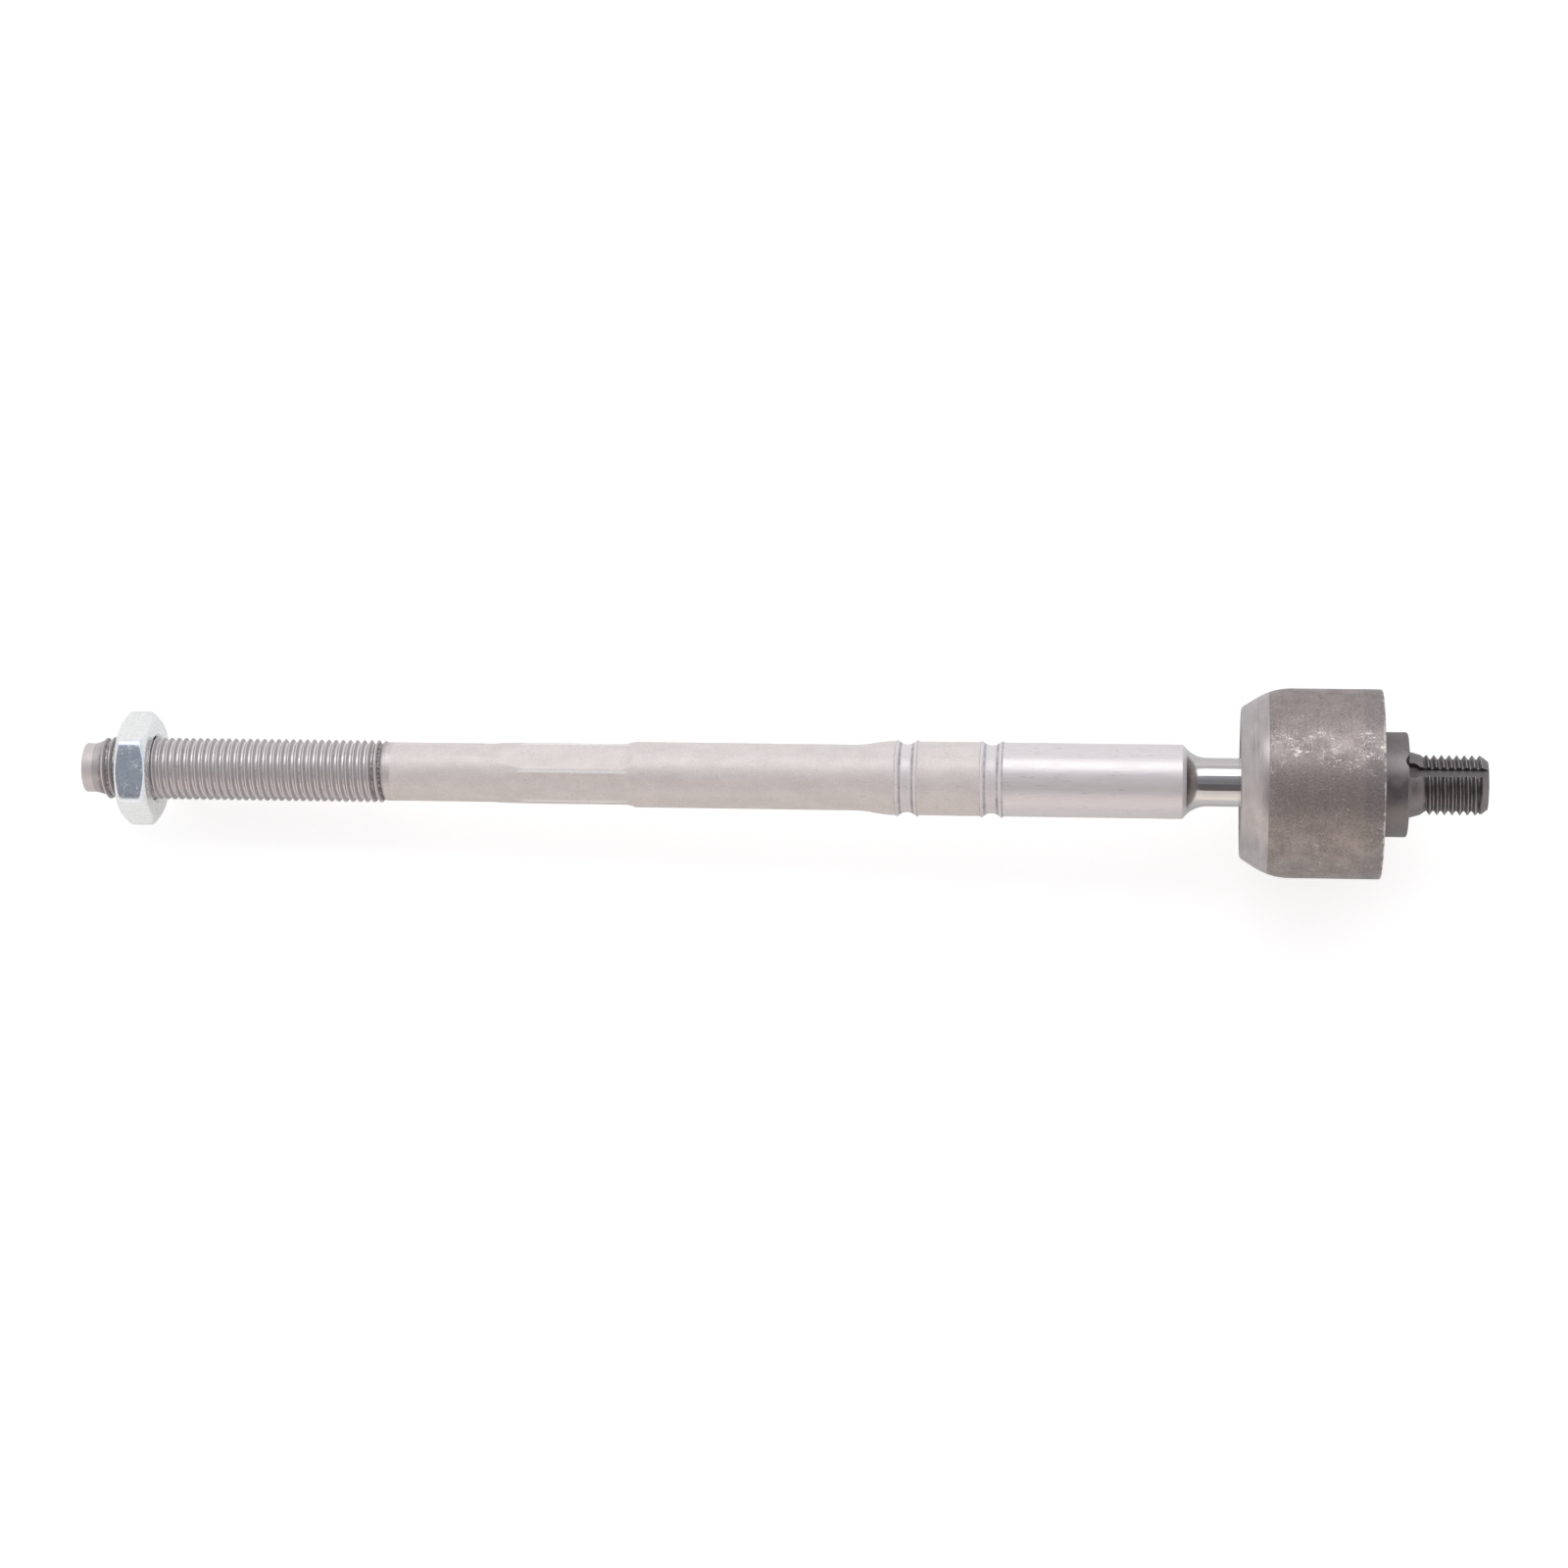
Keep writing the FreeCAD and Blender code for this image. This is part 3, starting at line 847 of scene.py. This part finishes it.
# %% [markdown]
# The rod has four finishes. The neck is ground and nearly a mirror, with faint rings and streaks.
# Towards the body it was only turned, so it gets duller there.

# %% Neck steel
def make_neck_steel():
    """Bright ground neck: lathe rings give the roughness, long streaks the colour."""
    material, tree, place = turned_material("ground_neck", neck_r)
    rings = grain(tree, place, 0.15, 6.0)
    streaks = grain(tree, place, 12.0, 0.5)
    turned = ramp(tree, place["Along"], body_near + 4.2, body_near + 1.8)
    base = tint(tree, streaks, colour(0.56, 0.548, 0.544), colour(0.65, 0.638, 0.634))
    ground = ramp(tree, rings, 0.2, 0.9, 0.05, 0.1)
    rough = calc(tree, "MULTIPLY_ADD", turned, 0.14, ground)
    metallic = calc(tree, "MULTIPLY_ADD", turned, -0.08, 1.0)
    finish_steel(tree, base, rough, rings, 0.0015, metallic)
    return material


neck_steel = make_neck_steel()
print("finish:", neck_steel.name)

# %% [markdown]
# The cylinder in front of the grooves is polished, with streaks drawn along it. In the grooves
# painted shade darkens the steel beside each lip. Its two rings are found by the distance from
# the groove's middle.

# %% Body steel
# Distances from the groove's middle, in millimetres: painted shade starts, is full, fades and has gone
VALLEY_SHADE = (0.9, 1.15, 1.4, 1.65)
FLANK_SHADE = (2.1, 2.2, 2.35, 2.5)


def make_body_steel():
    """Streaks along the cylinder, and two rings of painted shade on each side of a groove's middle."""
    material, tree, place = turned_material("polished_body", body_r)
    streaks = grain(tree, place, 5.0, 0.16, 2.4)
    cloud = grain(tree, place, 6.0, 1.6)
    from_middle = [apart(tree, place["Along"], middle) for middle in (far_groove, near_groove)]
    near = calc(tree, "MINIMUM", *from_middle)
    # Two rings of painted shade beside each lip of a groove
    rings = [between(tree, near, *painted_shade) for painted_shade in (VALLEY_SHADE, FLANK_SHADE)]
    patchy = ramp(tree, cloud, 0.1, 0.9, 0.7, 0.35)
    painted_shade = calc(tree, "MULTIPLY", calc(tree, "MAXIMUM", *rings), patchy)
    in_groove = ramp(tree, near, groove_reach, groove_half)
    base = tint(tree, streaks, colour(0.715, 0.685, 0.695), colour(0.775, 0.75, 0.76))
    # Painted shade: the rings darken the steel in the grooves
    base = tint(tree, painted_shade, base, colour(0.22, 0.215, 0.24))
    rough = calc(tree, "MULTIPLY_ADD", streaks, 0.06, ramp(tree, cloud, 0.2, 0.8, 0.25, 0.34))
    metallic = calc(tree, "MULTIPLY_ADD", in_groove, -0.2, 0.37)
    finish_steel(tree, base, rough, streaks, 0.005, metallic, sheen_at_rim=0.1)
    return material


body_steel = make_body_steel()
print("finish:", body_steel.name)

# %% [markdown]
# The shank is as it came from the press, a soft grey with a fine sparkle and a few dark pits. The
# corners of the wrench hexagon have worn bright, and that light line is also a painted highlight
# along each corner. A corner is found by the angle alone: the way round the bar is folded at every
# 30 degrees, so that it is 0 on each corner.

# %% Shank steel
def make_shank_steel():
    """Clouds, sparkle and pits, and a bright line where the distance from a corner is small."""
    material, tree, place = turned_material("pressed_shank", shank_r)
    fine = grain(tree, place, 0.3, 0.24, 3.0)
    cloud = grain(tree, place, 5.0, 2.6)
    base = tint(tree, cloud, colour(0.66, 0.618, 0.603), colour(0.75, 0.705, 0.69))
    base = tint(tree, ramp(tree, fine, 0.6, 1.0, 0.0, 0.5), base, colour(0.86, 0.835, 0.82))
    pits = grain(tree, place, 0.7, 0.7, 3.0)
    base = tint(tree, ramp(tree, pits, 0.93, 1.0, 0.0, 0.22), base, colour(0.45, 0.42, 0.41))
    around = add(tree, "SeparateXYZ", {0: place["Flat"]}).outputs[1]
    from_first = calc(tree, "SUBTRACT", around, float(hexagon_turn) * shank_r)
    from_corner = calc(tree, "PINGPONG", from_first, float(np.radians(30)) * shank_r)
    pressed = between(tree, place["Along"],
                      hexagon_far - 2, hexagon_far, shank_far - 1.5, shank_far - 0.5)
    # Worn bright corners, lightened further as a painted highlight along each corner of the hexagon
    corner = calc(tree, "MULTIPLY", ramp(tree, from_corner, 0.1, 0.4, 0.8, 0.0), pressed)
    base = tint(tree, corner, base, colour(0.95, 0.94, 0.93))
    rough = calc(tree, "MULTIPLY_ADD", corner, -0.2, ramp(tree, fine, 0.2, 1.0, 0.54, 0.37))
    finish_steel(tree, base, rough, fine, 0.009, metallic=0.2, sheen_at_rim=0.1)
    return material


shank_steel = make_shank_steel()
print("finish:", shank_steel.name)

# %% [markdown]
# The thread was rolled, which burnishes its crests and roots. A painted highlight lightens them in
# two lines a pitch, found by the depth below the crests, and the flanks stay dull. Painted shade
# darkens the roots where the thread runs out and in front of the nut. The plain point and the last
# of the blank are lighter.

# %% Thread steel
def make_thread_steel():
    """Painted highlight lines at two depths, painted shade in the roots near both ends, plain tone
    beyond.
    """
    material, tree, place = turned_material("rolled_thread", outer_crest_r)
    along = place["Along"]
    spots = grain(tree, place, 0.7, 0.5, 3.2)
    cloud = grain(tree, place, 6.0, 3.0)
    crests_at = ramp(tree, along, point_near, thread_far, point_r, outer_crest_r)
    depth = calc(tree, "SUBTRACT", crests_at, place["Away"])
    crest = ramp(tree, depth, 0.03, 0.12, 1.0, 0.0)
    root = ramp(tree, depth, THREAD_DEPTH - 0.2, THREAD_DEPTH - 0.08)
    in_thread = between(tree, along,
                        point_near + 0.6, point_near + 1.4, thread_near - 1.2, thread_near - 0.6)
    # A painted highlight on the crests and roots, within the thread
    line = calc(tree, "MULTIPLY", calc(tree, "MAXIMUM", crest, root), in_thread)
    near_shank = ramp(tree, along, thread_near - 3.6, thread_near - 2.2)
    near_point = ramp(tree, along, nut_outer - 0.5, nut_outer + 1.5, 0.8, 0.0)
    ends = calc(tree, "MAXIMUM", near_shank, near_point)
    # Painted shade, patchy, near the run-out and in front of the nut; below it stays deep in the roots
    patchy_shade = calc(tree, "MULTIPLY", ends, ramp(tree, spots, 0.3, 0.8, 1.0, 0.35))
    patchy_shade = calc(tree, "ADD", patchy_shade, ramp(tree, spots, 0.96, 1.0, 0.0, 0.5))
    painted_shade = calc(tree, "MULTIPLY", patchy_shade, ramp(tree, depth, 0.3, 0.6, 0.0, 0.85), clamp=True)
    painted_shade = calc(tree, "MULTIPLY", painted_shade, ramp(tree, along, point_near, point_near + 0.4))
    plain = calc(tree, "MAXIMUM", ramp(tree, along, thread_near - 0.5, thread_near + 0.1),
                 ramp(tree, along, point_near + 0.4, point_near, 0.0, 0.7))
    base = tint(tree, cloud, colour(0.44, 0.41, 0.42), colour(0.53, 0.495, 0.50))
    base = tint(tree, plain, base, colour(0.73, 0.685, 0.675))
    # Painted highlight lines, then painted shade in the roots
    base = tint(tree, line, base, colour(0.76, 0.735, 0.745))
    base = tint(tree, painted_shade, base, colour(0.13, 0.11, 0.10))
    rough = calc(tree, "MULTIPLY_ADD", line, -0.14, ramp(tree, painted_shade, 0.0, 1.0, 0.44, 0.6))
    finish_steel(tree, base, rough, spots, 0.004, metallic=0.45, sheen_at_rim=0.2)
    return material


rod_steels = [neck_steel, body_steel, shank_steel, make_thread_steel()]
print("rod finishes:", [steel.name for steel in rod_steels])

# %% [markdown]
# The housing is dark from its heat treatment. Scratches in six sizes show where it knocked about
# in a bin. Most of them, and light rubbed patches, are in one band along the cup where the lamp's
# highlight falls, which paints that highlight. Near the collar the skin was turned and is a little
# darker, and the back edge has worn bright.

# %% Cup steel
# The band where the lamp's highlight falls; crowding scratches into it paints that highlight
SCUFF_HIGHLIGHT_BAND = 26     # degrees from +Z towards +Y
CUP_SCRATCHES = [(0.45, 0.035), (0.7, 0.04), (1.1, 0.05), (1.8, 0.055), (3.0, 0.06), (6.0, 0.07)]


def make_cup_steel():
    """Forged grain, then bare metal where a scratch, a rub or the worn back edge is strongest."""
    material, tree, place = turned_material("scuffed_cup", cup_r)
    cloud = grain(tree, place, 3.5, 3.5, 2.2)
    rings = grain(tree, place, 0.5, 7.0)
    fine = grain(tree, place, 0.45, 0.35, 3.0)
    base = tint(tree, cloud, colour(0.24, 0.205, 0.195), colour(0.33, 0.288, 0.273))
    base = tint(tree, calc(tree, "MULTIPLY", rings, 0.4), base, colour(0.40, 0.365, 0.35))
    behind = ramp(tree, place["Along"], back_x - 4.3, back_x - 3.7, 0.0, 0.4)
    base = tint(tree, behind, base, colour(0.19, 0.185, 0.195))
    base = tint(tree, ramp(tree, fine, 0.5, 1.0, 0.0, 0.34), base, colour(0.45, 0.405, 0.38))
    base = tint(tree, ramp(tree, fine, 0.0, 0.5, 0.3, 0.0), base, colour(0.15, 0.125, 0.115))
    around = add(tree, "SeparateXYZ", {0: place["Flat"]}).outputs[1]
    from_band = apart(tree, around, cup_r * np.radians(SCUFF_HIGHLIGHT_BAND))
    crowd = ramp(tree, grain(tree, place, 4.0, 3.0, 2.8), 0.25, 0.95, 0.05, 1.0)
    # More scratches and rubs in the highlight band: real wear placed as a painted highlight
    crowd = calc(tree, "MULTIPLY", crowd, ramp(tree, from_band, 1.5, 6.0, 1.0, 0.42))
    scratch = all_scratches(tree, place, crowd, CUP_SCRATCHES)
    rub = ramp(tree, grain(tree, place, 1.5, 0.4, 3.4), 0.6, 1.0)
    rubbed = calc(tree, "MULTIPLY", rub, ramp(tree, crowd, 0.25, 1.0, 0.0, 0.75))
    edge = use(tree, worn_ring, {
        "Along": place["Along"], "Away": place["Away"], "Solid": place["Solid"],
        "Edge along": back_x, "Edge away": cup_r, "Width": 0.3})["Mask"]
    bare = calc(tree, "MAXIMUM", scratch, rubbed)
    bare = calc(tree, "MAXIMUM", bare, calc(tree, "MULTIPLY", edge, 0.7))
    base = tint(tree, bare, base, colour(0.74, 0.70, 0.67))
    rough = calc(tree, "MULTIPLY_ADD", bare, -0.14, ramp(tree, cloud, 0.2, 0.8, 0.54, 0.44))
    height = calc(tree, "SUBTRACT", fine, bare)
    finish_steel(tree, base, rough, height, 0.012, metallic=0.7, sheen_at_rim=0.8)
    return material


cup_steel = make_cup_steel()
print("finish:", cup_steel.name)

# %% [markdown]
# The rolled lip was rubbed clean by the rolling tool, which left it lighter, with rings round the
# axis and a crisp border. The collar and the stub kept a film of oil, so they are darker.

# %% Lip and stub steels
def make_swaged_steel():
    """Light rings over a cloud of grey, with a few scratches where the cloud is lightest."""
    material, tree, place = turned_material("rolled_lip", cup_r)
    rings = grain(tree, place, 0.4, 9.0)
    cloud = grain(tree, place, 2.0, 5.0, 2.4)
    base = tint(tree, cloud, colour(0.35, 0.335, 0.34), colour(0.46, 0.43, 0.428))
    base = tint(tree, calc(tree, "MULTIPLY", rings, 0.4), base, colour(0.64, 0.60, 0.595))
    crowd = ramp(tree, cloud, 0.4, 1.0, 0.0, 0.5)
    scratch = all_scratches(tree, place, crowd, [(0.7, 0.05), (1.6, 0.06)])
    base = tint(tree, calc(tree, "MULTIPLY", scratch, 0.6), base, colour(0.84, 0.80, 0.78))
    rough = ramp(tree, rings, 0.0, 1.0, 0.26, 0.36)
    finish_steel(tree, base, rough, rings, 0.006, metallic=0.75)
    return material


def make_stub_steel():
    """Oiled dark steel, dulled in the slot, with painted shade in the slot and painted crest highlights.
    """
    material, tree, place = turned_material("oiled_stub", stub_r)
    along = place["Along"]
    rings = grain(tree, place, 0.3, 4.0)
    spots = grain(tree, place, 1.4, 1.4)
    upright = add(tree, "VectorRotate", {
        "Vector": place["Solid"], "Angle": float(slot_turn)}, rotation_type="X_AXIS").outputs[0]
    sideways, up = add(tree, "SeparateXYZ", {0: upright}).outputs[1:]
    half_slot = slot_width / 2
    from_middle = calc(tree, "ABSOLUTE", sideways)
    # The slot, where painted shade darkens the steel and oil dulls it
    within = ramp(tree, from_middle, half_slot - 0.02, half_slot + 0.06, 1.0, 0.0)
    within = calc(tree, "MULTIPLY", within, ramp(tree, up, 0.0, 1.0))
    within = calc(tree, "MULTIPLY", within, ramp(tree, along, shoulder_x, shoulder_x + 0.2))
    base = tint(tree, spots, colour(0.175, 0.167, 0.172), colour(0.25, 0.237, 0.237))
    # A painted highlight on the thread's crests
    in_thread = ramp(tree, along, stub_root_x + 0.6, stub_root_x + 1.2)
    crest = ramp(tree, place["Away"], stub_r - 0.12, stub_r - 0.04)
    bright = calc(tree, "MULTIPLY", calc(tree, "MULTIPLY", in_thread, crest), 0.7)
    base = tint(tree, bright, base, colour(0.50, 0.485, 0.48))
    base = tint(tree, calc(tree, "MULTIPLY", within, 0.35), base, colour(0.06, 0.06, 0.065))
    rough = calc(tree, "MULTIPLY_ADD", within, 0.16, ramp(tree, spots, 0.2, 0.8, 0.42, 0.52))
    finish_steel(tree, base, rough, rings, 0.005)
    return material


housing_steels = [cup_steel, make_swaged_steel(), make_stub_steel()]
print("housing finishes:", [steel.name for steel in housing_steels])

# %% [markdown]
# The nut has bright zinc with a fine mottle and small light scuffs. It looks bluer seen square on
# and whiter at a slant, where a painted sheen lightens its colour. The polymer seat is a milky
# white, barely glossy. Only its rim shows, deep in the housing's mouth, so a little roughness and
# a faint cloudiness are enough.

# %% Zinc and polymer
def make_zinc():
    """Bluish mottle that turns whiter with the slant, and scuffs that are rough and light."""
    material, tree, place = turned_material("bright_zinc", nut_half_flats)
    mottle = grain(tree, place, 0.9, 0.9, 1.6)
    fine = grain(tree, place, 0.3, 0.3, 3.0)
    crowd = ramp(tree, grain(tree, place, 2.2, 2.2, 3.2), 0.45, 1.0)
    scuff = all_scratches(tree, place, crowd, [(0.45, 0.08), (0.8, 0.1), (1.4, 0.1)])
    slant = add(tree, "LayerWeight", {"Blend": 0.5}).outputs["Facing"]
    blue = tint(tree, mottle, colour(0.66, 0.77, 0.90), colour(0.76, 0.84, 0.93))
    # Whiter at a slant: a painted sheen over the blue of the passivated zinc
    base = tint(tree, ramp(tree, slant, 0.15, 0.4), blue, colour(0.91, 0.935, 0.925))
    base = tint(tree, ramp(tree, fine, 0.75, 1.0, 0.0, 0.6), base, colour(0.95, 0.955, 0.95))
    base = tint(tree, scuff, base, colour(0.97, 0.97, 0.96))
    rough = calc(tree, "MULTIPLY_ADD", scuff, 0.3, ramp(tree, mottle, 0.1, 0.9, 0.22, 0.32))
    metallic = calc(tree, "MULTIPLY_ADD", scuff, -0.6, 0.87)
    finish_steel(tree, base, rough, calc(tree, "ADD", fine, scuff), 0.006, metallic)
    return material


def make_polymer():
    """One cloud gives the colour, the roughness and a bump 0.02 mm tall."""
    material, tree, place = turned_material("moulded_polymer", ball_r)
    cloud = grain(tree, place, 2.0, 2.0)
    base = tint(tree, cloud, colour(0.70, 0.69, 0.64), colour(0.80, 0.79, 0.74))
    bump = add(tree, "Bump", {"Height": cloud, "Distance": 0.02 * MM})
    shader = add(tree, "BsdfPrincipled", {
        "Base Color": base, "Roughness": ramp(tree, cloud, 0.2, 0.8, 0.38, 0.5),
        "Normal": bump.outputs[0]})
    add(tree, "OutputMaterial", {"Surface": shader.outputs[0]})
    return material


zinc = make_zinc()
polymer = make_polymer()
print("finishes:", zinc.name, "and", polymer.name)

# %% [markdown]
# Now the skins become pieces. The rod, the housing and the nut replace the plain solids, on the
# bodies that move them. The seat's own solid has the right shape, so it only gets the polymer.

# %% Build the pieces
def cut_slot(cup):
    """Takes the key-shaped prism out of the stub and keeps the result as a plain mesh."""
    cutter = slot_cutter().mesh("slot_cutter", housing_steels)
    cut = cup.modifiers.new("slot", "BOOLEAN")
    cut.object, cut.operation, cut.solver = cutter, "DIFFERENCE", "EXACT"
    depsgraph = bpy.context.evaluated_depsgraph_get()
    result = bpy.data.meshes.new_from_object(cup.evaluated_get(depsgraph))
    cup.modifiers.clear()
    cup.data = result
    bpy.data.objects.remove(cutter)


rod = rod_skin().mesh("rod", rod_steels)
shade(rod)
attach(rod, "rod")
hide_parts("tie_rod")

ball_housing = housing_skin().mesh("ball_housing", housing_steels)
cut_slot(ball_housing)
shade(ball_housing)
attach(ball_housing, "housing")
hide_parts("housing")

lock_nut = nut_skin().mesh("lock_nut", [zinc])
shade(lock_nut)
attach(lock_nut, "nut")
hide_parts("jam_nut")

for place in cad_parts["ball_seat"].material_slots:
    place.material = polymer
print("pieces:", [piece.name for piece in (rod, ball_housing, lock_nut)])

# %% [markdown]
# The part lies on its housing and its nut, which are not the same size, so the floor is tilted
# two degrees against the rod. It is a plain pale floor. A camera ray, and a ray mirrored in the
# steel, see some added light on it, which makes it white but keeps the shadow.

# %% Floor
FLOOR_HALF = 3.0
FLOOR_TO_CAMERA, FLOOR_TO_METAL = 0.55, 0.2
CUP_REST = 0.26     # where the cup touches the floor, as a share of the way from ball to lip
nut_rest = Vector(((nut_outer + nut_inner) / 2 * MM, 0, -nut_half_flats * MM))
cup_rest = Vector((cup_low.x * MM * CUP_REST, 0, -cup_r * MM))
floor_slope = np.arctan2(cup_rest.z - nut_rest.z, cup_rest.x - nut_rest.x)


def make_floor():
    """A square plane through the two places that the part lies on."""
    rise = np.tan(floor_slope)
    points = [(x * FLOOR_HALF, y * FLOOR_HALF, cup_rest.z + (x * FLOOR_HALF - cup_rest.x) * rise)
              for x, y in ((-1, -1), (1, -1), (1, 1), (-1, 1))]
    data = bpy.data.meshes.new("floor")
    data.from_pydata(points, [], [(0, 1, 2, 3)])
    floor = bpy.data.objects.new("floor", data)
    bpy.context.scene.collection.objects.link(floor)
    material, tree = new_material("pale_floor")
    paths = add(tree, "LightPath").outputs
    to_camera = calc(tree, "MULTIPLY", paths["Is Camera Ray"], FLOOR_TO_CAMERA)
    mirrored = calc(tree, "MAXIMUM", paths["Is Glossy Ray"], paths["Is Transmission Ray"])
    strength = calc(tree, "MULTIPLY_ADD", mirrored, FLOOR_TO_METAL, to_camera)
    glow = add(tree, "Emission", {"Color": colour(1, 1, 1), "Strength": strength})
    paint = add(tree, "BsdfDiffuse", {"Color": colour(0.80, 0.82, 0.825)})
    both = add(tree, "AddShader", {0: paint.outputs[0], 1: glow.outputs[0]})
    add(tree, "OutputMaterial", {"Surface": both.outputs[0]})
    data.materials.append(material)
    return floor


make_floor()
print("floor slope:", round(float(np.degrees(floor_slope)), 2), "degrees")

# %% [markdown]
# Polished steel shows the room more than its own colour. The neck reads as a mirror because the
# room has a pattern: a dim stripe overhead along the rod, one long soft lamp where the stripe ends
# on the far side, and pale walls, of which the near one is warmer and brighter low down. So the
# world is made of the angle across the rod, with no picture: the sine of that angle is y over the
# root of (y squared + z squared).

# %% Lights
LAMP_ANGLE = np.radians(52)
LAMP_DISTANCE = 1.2
LAMP_SIZE = (2.0, 0.74)
LAMP_STRENGTH = 1.55
ROOM_STRENGTH = 1.25


def make_world():
    """Colour by direction: pale walls near and far, and the stripe's three greys overhead."""
    world = bpy.data.worlds.new("studio")
    bpy.context.scene.world = world
    world.use_nodes = True
    tree = world.node_tree
    tree.nodes.clear()
    x, y, z = add(tree, "SeparateXYZ", {0: add(tree, "TexCoord").outputs["Generated"]}).outputs
    squares = [calc(tree, "MULTIPLY", part, part) for part in (y, z)]
    across = calc(tree, "DIVIDE", y, calc(tree, "SQRT", calc(tree, "ADD", *squares)))
    length = ramp(tree, calc(tree, "ABSOLUTE", x), 0.62, 0.84, 1.0, 0.0)
    overhead = calc(tree, "MULTIPLY", length, ramp(tree, z, 0.0, 0.3))
    stripe = calc(tree, "MULTIPLY", between(tree, across, -0.64, -0.58, 0.56, 0.62), overhead)
    first, second = colour(0.14, 0.13, 0.135), colour(0.225, 0.225, 0.24)
    dim = tint(tree, ramp(tree, across, -0.14, -0.06), first, second)
    dim = tint(tree, ramp(tree, across, 0.15, 0.5), dim, colour(0.36, 0.36, 0.395))
    low, high = colour(0.96, 0.88, 0.83), colour(0.74, 0.69, 0.665)
    near = tint(tree, ramp(tree, z, 0.25, 0.75), low, high)
    low, high = colour(0.60, 0.585, 0.60), colour(0.72, 0.70, 0.71)
    far = tint(tree, ramp(tree, z, 0.27, 0.33), low, high)
    pale = tint(tree, ramp(tree, y, -0.3, 0.3), near, far)
    room = tint(tree, stripe, pale, dim)
    seen = add(tree, "LightPath").outputs["Is Camera Ray"]
    strength = calc(tree, "MULTIPLY_ADD", seen, 1 - ROOM_STRENGTH, ROOM_STRENGTH)
    background = add(tree, "Background", {
        "Color": tint(tree, seen, room, colour(1, 1, 1)), "Strength": strength})
    add(tree, "OutputWorld", {"Surface": background.outputs[0]})


def make_lamp():
    """An area lamp's radiance is its power divided by pi times its area."""
    lamp = bpy.data.lights.new("long_softbox", "AREA")
    lamp.shape = "RECTANGLE"
    lamp.size, lamp.size_y = LAMP_SIZE
    lamp.energy = LAMP_STRENGTH * np.pi * LAMP_SIZE[0] * LAMP_SIZE[1]
    holder = bpy.data.objects.new("long_softbox", lamp)
    middle_x = (rod_end + stub_end) / 2 * MM
    sideways, height = LAMP_DISTANCE * np.sin(LAMP_ANGLE), LAMP_DISTANCE * np.cos(LAMP_ANGLE)
    holder.location = (middle_x, sideways, height)
    holder.rotation_euler = (-LAMP_ANGLE, 0, 0)
    holder.visible_camera = False
    bpy.context.scene.collection.objects.link(holder)
    return holder


make_world()
print("lamp:", make_lamp().name, "with a strength of", LAMP_STRENGTH)

# %% [markdown]
# The camera stands where the photographer's stood: above the middle of the part, which drifts a
# little away from the lens towards the nut. Its place is given as it was found, with the ball's
# centre and the rod's direction seen from the camera, and turned into the part's own frame here.

# %% Camera
LENS, SENSOR = 85.45, 36.0
ball_seen = Vector((103.97, 0.12, -745.0)) * MM
rod_seen = Vector((0.9945, -0.0134, 0.1045)).normalized()
roll = np.radians(4.2)


def make_camera():
    """Axes of the part as the camera sees them, turned round to place the camera in the part's frame."""
    towards = Vector((0, 0, 1))
    upright = (towards - rod_seen * towards.dot(rod_seen)).normalized()
    across = upright.cross(rod_seen)
    z_axis = upright * np.cos(roll) - across * np.sin(roll)
    y_axis = across * np.cos(roll) + upright * np.sin(roll)
    seen = Matrix((rod_seen, y_axis, z_axis))
    data = bpy.data.cameras.new("camera")
    data.lens, data.sensor_width = LENS, SENSOR
    data.clip_start, data.clip_end = 0.01, 20.0
    camera = bpy.data.objects.new("camera", data)
    camera.matrix_world = Matrix.Translation(-(seen @ ball_seen)) @ seen.to_4x4()
    bpy.context.scene.collection.objects.link(camera)
    bpy.context.scene.camera = camera
    return camera


camera = make_camera()
print("camera at", [round(value, 3) for value in camera.matrix_world.translation])

# %% View transform
bpy.context.scene.view_settings.view_transform = "Standard"
bpy.context.view_layer.update()
